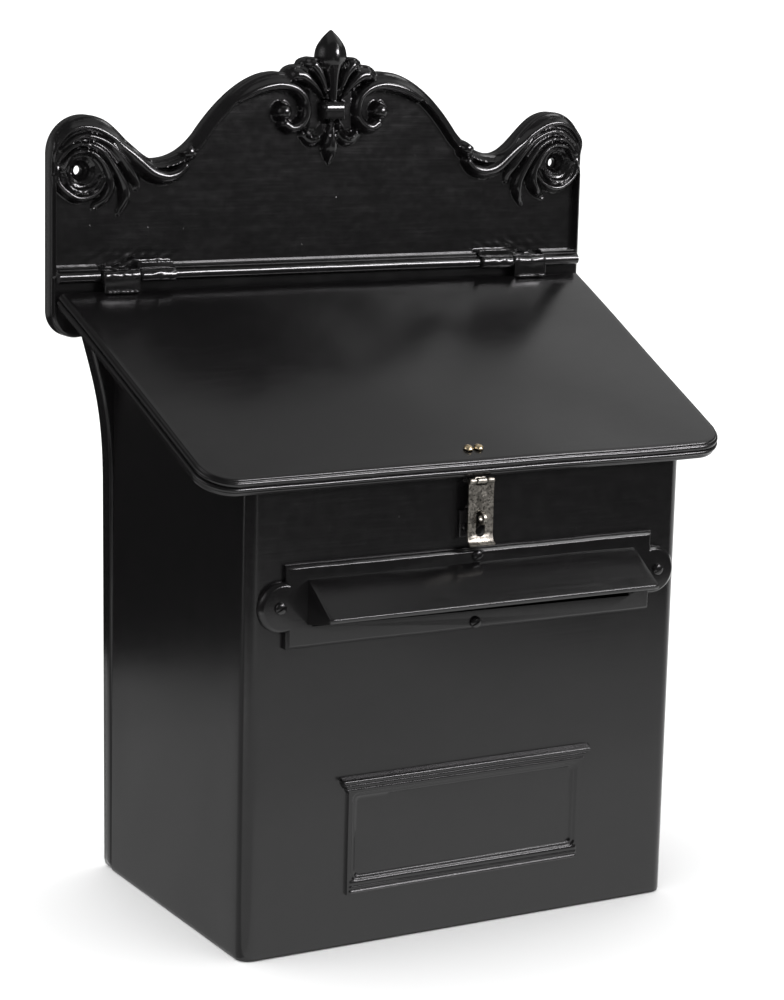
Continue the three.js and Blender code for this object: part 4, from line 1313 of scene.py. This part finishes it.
def make_staple():
    """The padlock eye on its plate, its nut inside, and the plate's two screws."""
    front = FRONT_Y - GAP - 1.5
    plate = new_object("fine_staple_plate", block((-11, front, 247.4), (11, FRONT_Y - GAP, 264.2)))
    round_edges(plate, 0.5)
    combine(plate, staple_holes(front - 2, 6), "DIFFERENCE")
    finish_piece(plate, "staple_plate", "box", FASTENER)

    base = FRONT_Y - 2 * GAP - 1.5
    eye = (FRONT_Y - 9.7, 260)
    outline = np.vstack([[(base, 252.2), (base, 263.6)], arc(eye, 4.0, 90, 295)])
    lug = new_object("fine_staple", prism(outline, "x", -1.3, 1.3))
    combine(lug, [prism(arc(eye, 2.1, 0, 345), "x", -5, 5)], "DIFFERENCE")
    round_edges(lug, 0.4, 3, angle=50)
    end = WALL + 8
    shank = lathe([(0, -1), (2, -1), (2, WALL + 7.6), (1.6, end), (0, end)],
                  (0, base, STAPLE_Z), (0, 1, 0), 32)
    combine(lug, [shank], "UNION")
    finish_piece(lug, "staple", "box", STEEL)
    make_nut("staple_nut", 0, STAPLE_Z)

    head = [(0, -1.5), (0.9, -1.42), (1.7, -1.2), (2.3, -0.75), (2.5, -0.3), (2.5, 0), (1.3, 0),
            (1.3, 7), (0, 7.6)]
    for side, (x, z) in STAPLE_SCREWS.items():
        make_screw(f"staple_screw_{side}", head, (x, base, z), (0.8, 0.7, -35), FASTENER)


def make_screw(node, profile, seat, driver, material, facing=1):
    """A turned screw; `driver` is its slot's depth, width and turn in degrees, and `facing` is
    1 when its head looks to the front."""
    screw = new_object(f"fine_{node}", lathe(profile, seat, (0, facing, 0), 36))
    depth, width, turn = driver
    head = min(height for _, height in profile) * facing + seat[1]
    ends = sorted([head - facing, head + depth * facing])
    points, faces = block((-6, ends[0], -width / 2), (6, ends[1], width / 2))
    c, s = math.cos(math.radians(turn)), math.sin(math.radians(turn))
    x, y, z = points.T
    spun = np.column_stack([x * c - z * s + seat[0], y, x * s + z * c + seat[2]])
    combine(screw, [(spun, faces)], "DIFFERENCE")
    finish_piece(screw, node, "box", material)


def make_nut(node, x, z):
    """Hexagon nut on the inner face of the front wall, with chamfered corners."""
    rear = FRONT_Y + WALL + GAP
    turn = np.radians(np.arange(6) * 60)
    corner_r, thick = 4.04, 3.2
    hexagon = np.column_stack([x + corner_r * np.cos(turn), z + corner_r * np.sin(turn)])
    nut = new_object(f"fine_{node}", prism(hexagon, "y", rear, rear + thick))
    dome = [(0, 0), (4.2, 0), (4.2, 2.7), (3.4, thick), (0, thick)]
    combine(nut, [lathe(dome, (x, rear, z), (0, 1, 0), 36)], "INTERSECT")
    combine(nut, [bore(x, rear - 3, z, BOLT_HOLE_R, 9)], "DIFFERENCE")
    finish_piece(nut, node, "box", ZINC, sharp=30)


# ---- letter plate --------------------------------------------------------------------------
def letter_outline(margin):
    """Closed outline with a round ear at each end."""
    half = LETTER_HALF - margin
    tall = LETTER_HALF_HEIGHT - margin
    radius = EAR_R - margin
    open_angle = math.degrees(math.acos((half - EAR_X) / radius)) if half < EAR_X else 90
    turn = np.radians(np.linspace(-open_angle, open_angle, 61))
    right = np.column_stack([EAR_X + radius * np.cos(turn), LETTER_Z + radius * np.sin(turn)])
    across = np.linspace(half, -half, 90)
    top = np.column_stack([across, np.full(len(across), LETTER_Z + tall)])
    bottom = np.column_stack([across[::-1], np.full(len(across), LETTER_Z - tall)])
    return np.vstack([right, top, (right * [-1, 1])[::-1], bottom])


def letter_base():
    """The plate behind the hood, with a chamfered, slightly wavy edge."""
    loops = []
    rear = FRONT_Y - GAP
    for margin, y in ((0, rear), (0, LETTER_FRONT_Y + 2.3), (0.12, LETTER_FRONT_Y + 1.95),
                      (1.9, LETTER_FRONT_Y + 0.25), (2.2, LETTER_FRONT_Y + 0.06), (2.7, LETTER_FRONT_Y)):
        flat = letter_outline(margin)
        wobble = 0.12 * waves(flat, 40, seed=51)
        loops.append(np.column_stack([flat[:, 0], np.full(len(flat), y), flat[:, 1] + wobble]))
    return loft(loops)


def rounded_section(points, radii, count=5):
    """A polygon in the side view with its corners rounded."""
    points = np.array(points, float)
    made = []
    for k, radius in enumerate(radii):
        before, here, after = points[k - 1], points[k], points[(k + 1) % len(points)]
        back = (before - here) / np.linalg.norm(before - here)
        on = (after - here) / np.linalg.norm(after - here)
        start, end = here + back * radius, here + on * radius
        for t in np.linspace(0, 1, count):
            made.append(start * (1 - t) ** 2 + here * 2 * t * (1 - t) + end * t**2)
    return np.array(made)


def letter_hood():
    """The roof and cheeks over the slot, solid; its inside is cut afterwards."""
    root = LETTER_FRONT_Y + 1.5
    corners_yz = [(root, 203.6), (LETTER_FRONT_Y, 204.4), (HOOD_Y + 0.9, 210.9), (HOOD_Y, 213.4),
                  (LETTER_FRONT_Y - 0.2, 231.9), (root, 233.4)]
    section = rounded_section(corners_yz, [0.1, 0.8, 1.0, 1.0, 1.2, 0.1])
    centre = section.mean(0)
    half = SLOT_HALF + 3
    stations = np.concatenate([[-half, -half + 0.25], np.linspace(-half + 0.9, half - 0.9, 90),
                               [half - 0.25, half]])
    tucks = np.ones(len(stations))
    tucks[[0, 1, -2, -1]] = (0.94, 0.98, 0.98, 0.94)
    loops = []
    for x, tuck in zip(stations, tucks):
        ring = centre + (section - centre) * tuck
        lift = 0.3 * math.sin(x / 31) + 0.18 * math.sin(x / 11 + 1)
        upper = smooth_step(ring[:, 1], 215, 231)
        height = ring[:, 1] + lift * upper * 0.7
        loops.append(np.column_stack([np.full(len(ring), x), ring[:, 0], height]))
    return loft(loops)


def hood_inside():
    """The slot and the space under the hood; the slot's foot climbs towards the left."""
    rear, front, open_front = FRONT_Y + 1, LETTER_FRONT_Y - 0.01, HOOD_Y + 2.6
    inside = [(rear, 200), (rear, 229), (LETTER_FRONT_Y, 229), (open_front, 210.6),
              (open_front, 190), (front, 190), (front, 200)]
    points, faces = prism(inside, "x", -SLOT_HALF, SLOT_HALF)
    slot_foot = (points[:, 2] < 200.5) & (points[:, 2] > 195)
    points[:, 2] += slot_foot * (2.2 - 1.2 * points[:, 0] / SLOT_HALF)
    return points, faces


def make_letter_plate():
    plate = new_object("fine_letter_plate", letter_base())
    combine(plate, [letter_hood()], "UNION")
    holes = [bore(x, FRONT_Y - 9, z, BOLT_HOLE_R, 12) for x, z in PLATE_SCREWS.values()]
    combine(plate, [hood_inside()] + holes, "DIFFERENCE")
    finish_piece(plate, "letter_plate", "box", ENAMEL)
    seat = LETTER_FRONT_Y - GAP
    tip = FRONT_Y + WALL + 6 - seat
    head = [(0, -2.3), (1.2, -2.25), (2.3, -2.0), (3.1, -1.55), (3.6, -0.9), (3.7, -0.4), (3.7, 0),
            (2, 0), (2, tip - 0.4), (1.6, tip), (0, tip)]
    for side, (x, z) in PLATE_SCREWS.items():
        make_screw(f"plate_screw_{side}", head, (x, seat, z), (1.2, 1.0, 30), FASTENER)
        make_nut(f"plate_nut_{side}", x, z)


def make_back_screws():
    profile = [(0, 0.3), (4.0, 0.3), (4.2, 0.45), (4.2, 0.7), (2, 3), (2, 27.6), (1.6, 28), (0, 28)]
    for number, (x, z) in enumerate(BACK_SCREWS, 1):
        make_screw(f"back_screw_{number}", profile, (x, WALL_Y, z), (1.3, 1.0, 0), ZINC, -1)


# ---- stage ---------------------------------------------------------------------------------
def make_camera():
    """Long lens, a little above and to the left of the front, with a slight roll."""
    azimuth, elevation, roll = (math.radians(angle) for angle in (-29.84, 11.12, 1.44))
    aim = Vector((0.0013, 0.018, 0.2507))
    distance = 1.7386
    level = math.cos(elevation)
    back = Vector((math.sin(azimuth) * level, -math.cos(azimuth) * level, math.sin(elevation)))
    right = Vector((math.cos(azimuth), math.sin(azimuth), 0))
    up = back.cross(right)
    across = right * math.cos(roll) + up * math.sin(roll)
    upward = up * math.cos(roll) - right * math.sin(roll)
    data = bpy.data.cameras.new("camera")
    data.lens = 98.5
    data.sensor_width = 36
    camera = bpy.data.objects.new("camera", data)
    turned = Matrix((across, upward, back)).transposed().to_4x4()
    camera.matrix_world = Matrix.Translation(aim + back * distance) @ turned
    bpy.context.scene.collection.objects.link(camera)
    bpy.context.scene.camera = camera


def make_sheet(name, corners_m, colour, glow):
    """A flat four-cornered sheet without gloss, and with some light of its own."""
    mesh = bpy.data.meshes.new(name)
    mesh.from_pydata(corners_m, [], [(0, 1, 2, 3)])
    sheet = bpy.data.objects.new(name, mesh)
    bpy.context.scene.collection.objects.link(sheet)
    material = bpy.data.materials.new(name)
    material.use_nodes = True
    sockets = material.node_tree.nodes["Principled BSDF"].inputs
    sockets["Base Color"].default_value = (colour, colour, colour, 1)
    sockets["Specular IOR Level"].default_value = 0.0
    sockets["Emission Color"].default_value = (1, 1, 1, 1)
    sockets["Emission Strength"].default_value = glow
    mesh.materials.append(material)
    return sheet


def level_corners(low, high, z):
    return [(low[0], low[1], z), (high[0], low[1], z), (high[0], high[1], z), (low[0], high[1], z)]


def make_floor():
    reach = 9.0
    just_under = -0.0004
    floor = make_sheet("floor", level_corners((-reach, -reach), (reach, reach), just_under), 0.92, 0)
    shader = floor.data.materials[0].node_tree.nodes["Principled BSDF"]
    shader.inputs["Roughness"].default_value = 1.0


def make_card(name, corners_m, radiance):
    """A flat card that only reflections see: a black flag, or grey paper of some radiance."""
    card = make_sheet(name, corners_m, 0.0, radiance)
    card.visible_camera = False
    card.visible_diffuse = False
    card.visible_shadow = False
    card.visible_transmission = False


def upright(centre, facing, width, height):
    """Corners of an upright card, from the middle of its foot."""
    turn = math.radians(facing)
    along = Vector((math.cos(turn), math.sin(turn), 0)) * width / 2
    foot = Vector(centre)
    lift = Vector((0, 0, height))
    return [foot - along, foot + along, foot + along + lift, foot - along + lift]


def make_light(name, place, aim, size, radiance, tint=(1, 1, 1)):
    """A soft box of a given size in metres whose face has the given radiance."""
    data = bpy.data.lights.new(name, "AREA")
    data.shape = "RECTANGLE"
    data.size, data.size_y = size
    data.energy = radiance * math.pi * size[0] * size[1]
    data.color = tint
    light = bpy.data.objects.new(name, data)
    light.location = place
    light.rotation_mode = "QUATERNION"
    light.rotation_quaternion = (Vector(place) - Vector(aim)).to_track_quat("Z", "Y")
    light.visible_camera = False
    light.visible_diffuse = False
    bpy.context.scene.collection.objects.link(light)


def make_world():
    """White round the set; reflections see a darker room."""
    world = bpy.data.worlds.new("studio")
    bpy.context.scene.world = world
    world.use_nodes = True
    tree = world.node_tree
    background = tree.nodes["Background"]
    path = tree.nodes.new("ShaderNodeLightPath")
    blend = tree.nodes.new("ShaderNodeMix")
    blend.data_type = "RGBA"
    blend.inputs["A"].default_value = (1.5, 1.5, 1.5, 1)
    blend.inputs["B"].default_value = (0.10, 0.10, 0.10, 1)
    tree.links.new(path.outputs["Is Glossy Ray"], blend.inputs["Factor"])
    tree.links.new(blend.outputs["Result"], background.inputs["Color"])


# Upright cards: middle of the foot, facing in degrees, width, height and radiance.
UPRIGHT_CARDS = {
    "flag_front": ((0.31, -0.84, 0), 30, 1.4, 0.26, 0.06),
    "flag_front_high": ((0.31, -0.84, 0.26), 30, 1.4, 0.5, 0.10),
    "flag_corner": ((-0.75, -0.43, 0), -60, 1.6, 0.5, 0.04),
    "flag_rear": ((-0.41, 0.55, 0), 25, 1.2, 0.25, 0.02),
    "wall_rear": ((-0.95, 1.4, 0), 30, 2.2, 0.7, 0.18),
    "panel_left": ((-1.2, 0.1, 0.45), 90, 1.6, 1.0, 0.32),
}

# Level cards: low corner, high corner, height and radiance.
PAPER_NEAR, PAPER_FAR, OVERHEAD = 0.0006, 0.0005, 1.2
BOX_FRONT_M = (FRONT_Y - 1) * MM
LEVEL_CARDS = {
    "paper_front": ((-0.6, -1.6), (1.4, BOX_FRONT_M), PAPER_FAR, 0.95),
    "paper_front_near": ((-0.16, -0.36), (0.6, BOX_FRONT_M), PAPER_NEAR, 1.15),
    "paper_left": ((-1.2, BOX_FRONT_M), (-0.1535, 0.9), PAPER_FAR, 0.40),
    "paper_left_near": ((-0.4, BOX_FRONT_M), (-0.1535, 0.4), PAPER_NEAR, 0.46),
    "panel_1": ((0.49, 0.0), (0.60, 1.1), OVERHEAD, 0.42),
    "panel_2": ((0.60, 0.0), (0.74, 1.1), OVERHEAD, 0.62),
    "panel_3": ((0.74, 0.0), (1.5, 1.1), OVERHEAD, 0.82),
    "panel_4": ((-0.3, -0.2), (0.49, 0.525), OVERHEAD, 0.5),
}


def make_stage():
    make_floor()
    make_world()
    for name, (foot, facing, width, height, radiance) in UPRIGHT_CARDS.items():
        make_card(name, upright(foot, facing, width, height), radiance)
    for name, (low, high, z, radiance) in LEVEL_CARDS.items():
        make_card(name, level_corners(low, high, z), radiance)
    middle = (0, 0, 0.3)
    faint_pink = (1.0, 0.97, 1.0)
    make_light("panel_5", (0.78, -0.40, OVERHEAD), (0.78, -0.40, 0), (0.46, 0.36), 5)
    make_light("box_right", (0.82, -1.22, 1.06), middle, (0.85, 0.4), 48, faint_pink)
    make_light("box_left", (-1.5, -0.02, 1.03), middle, (0.7, 0.6), 11, faint_pink)
    scene = bpy.context.scene
    scene.view_settings.view_transform = "Standard"
    scene.view_settings.look = "None"


def main():
    make_camera()
    make_stage()
    make_back_plate()
    make_box_shell()
    make_lid()
    make_hinge("left")
    make_hinge("right")
    make_hasp()
    make_staple()
    make_letter_plate()
    make_back_screws()


main()
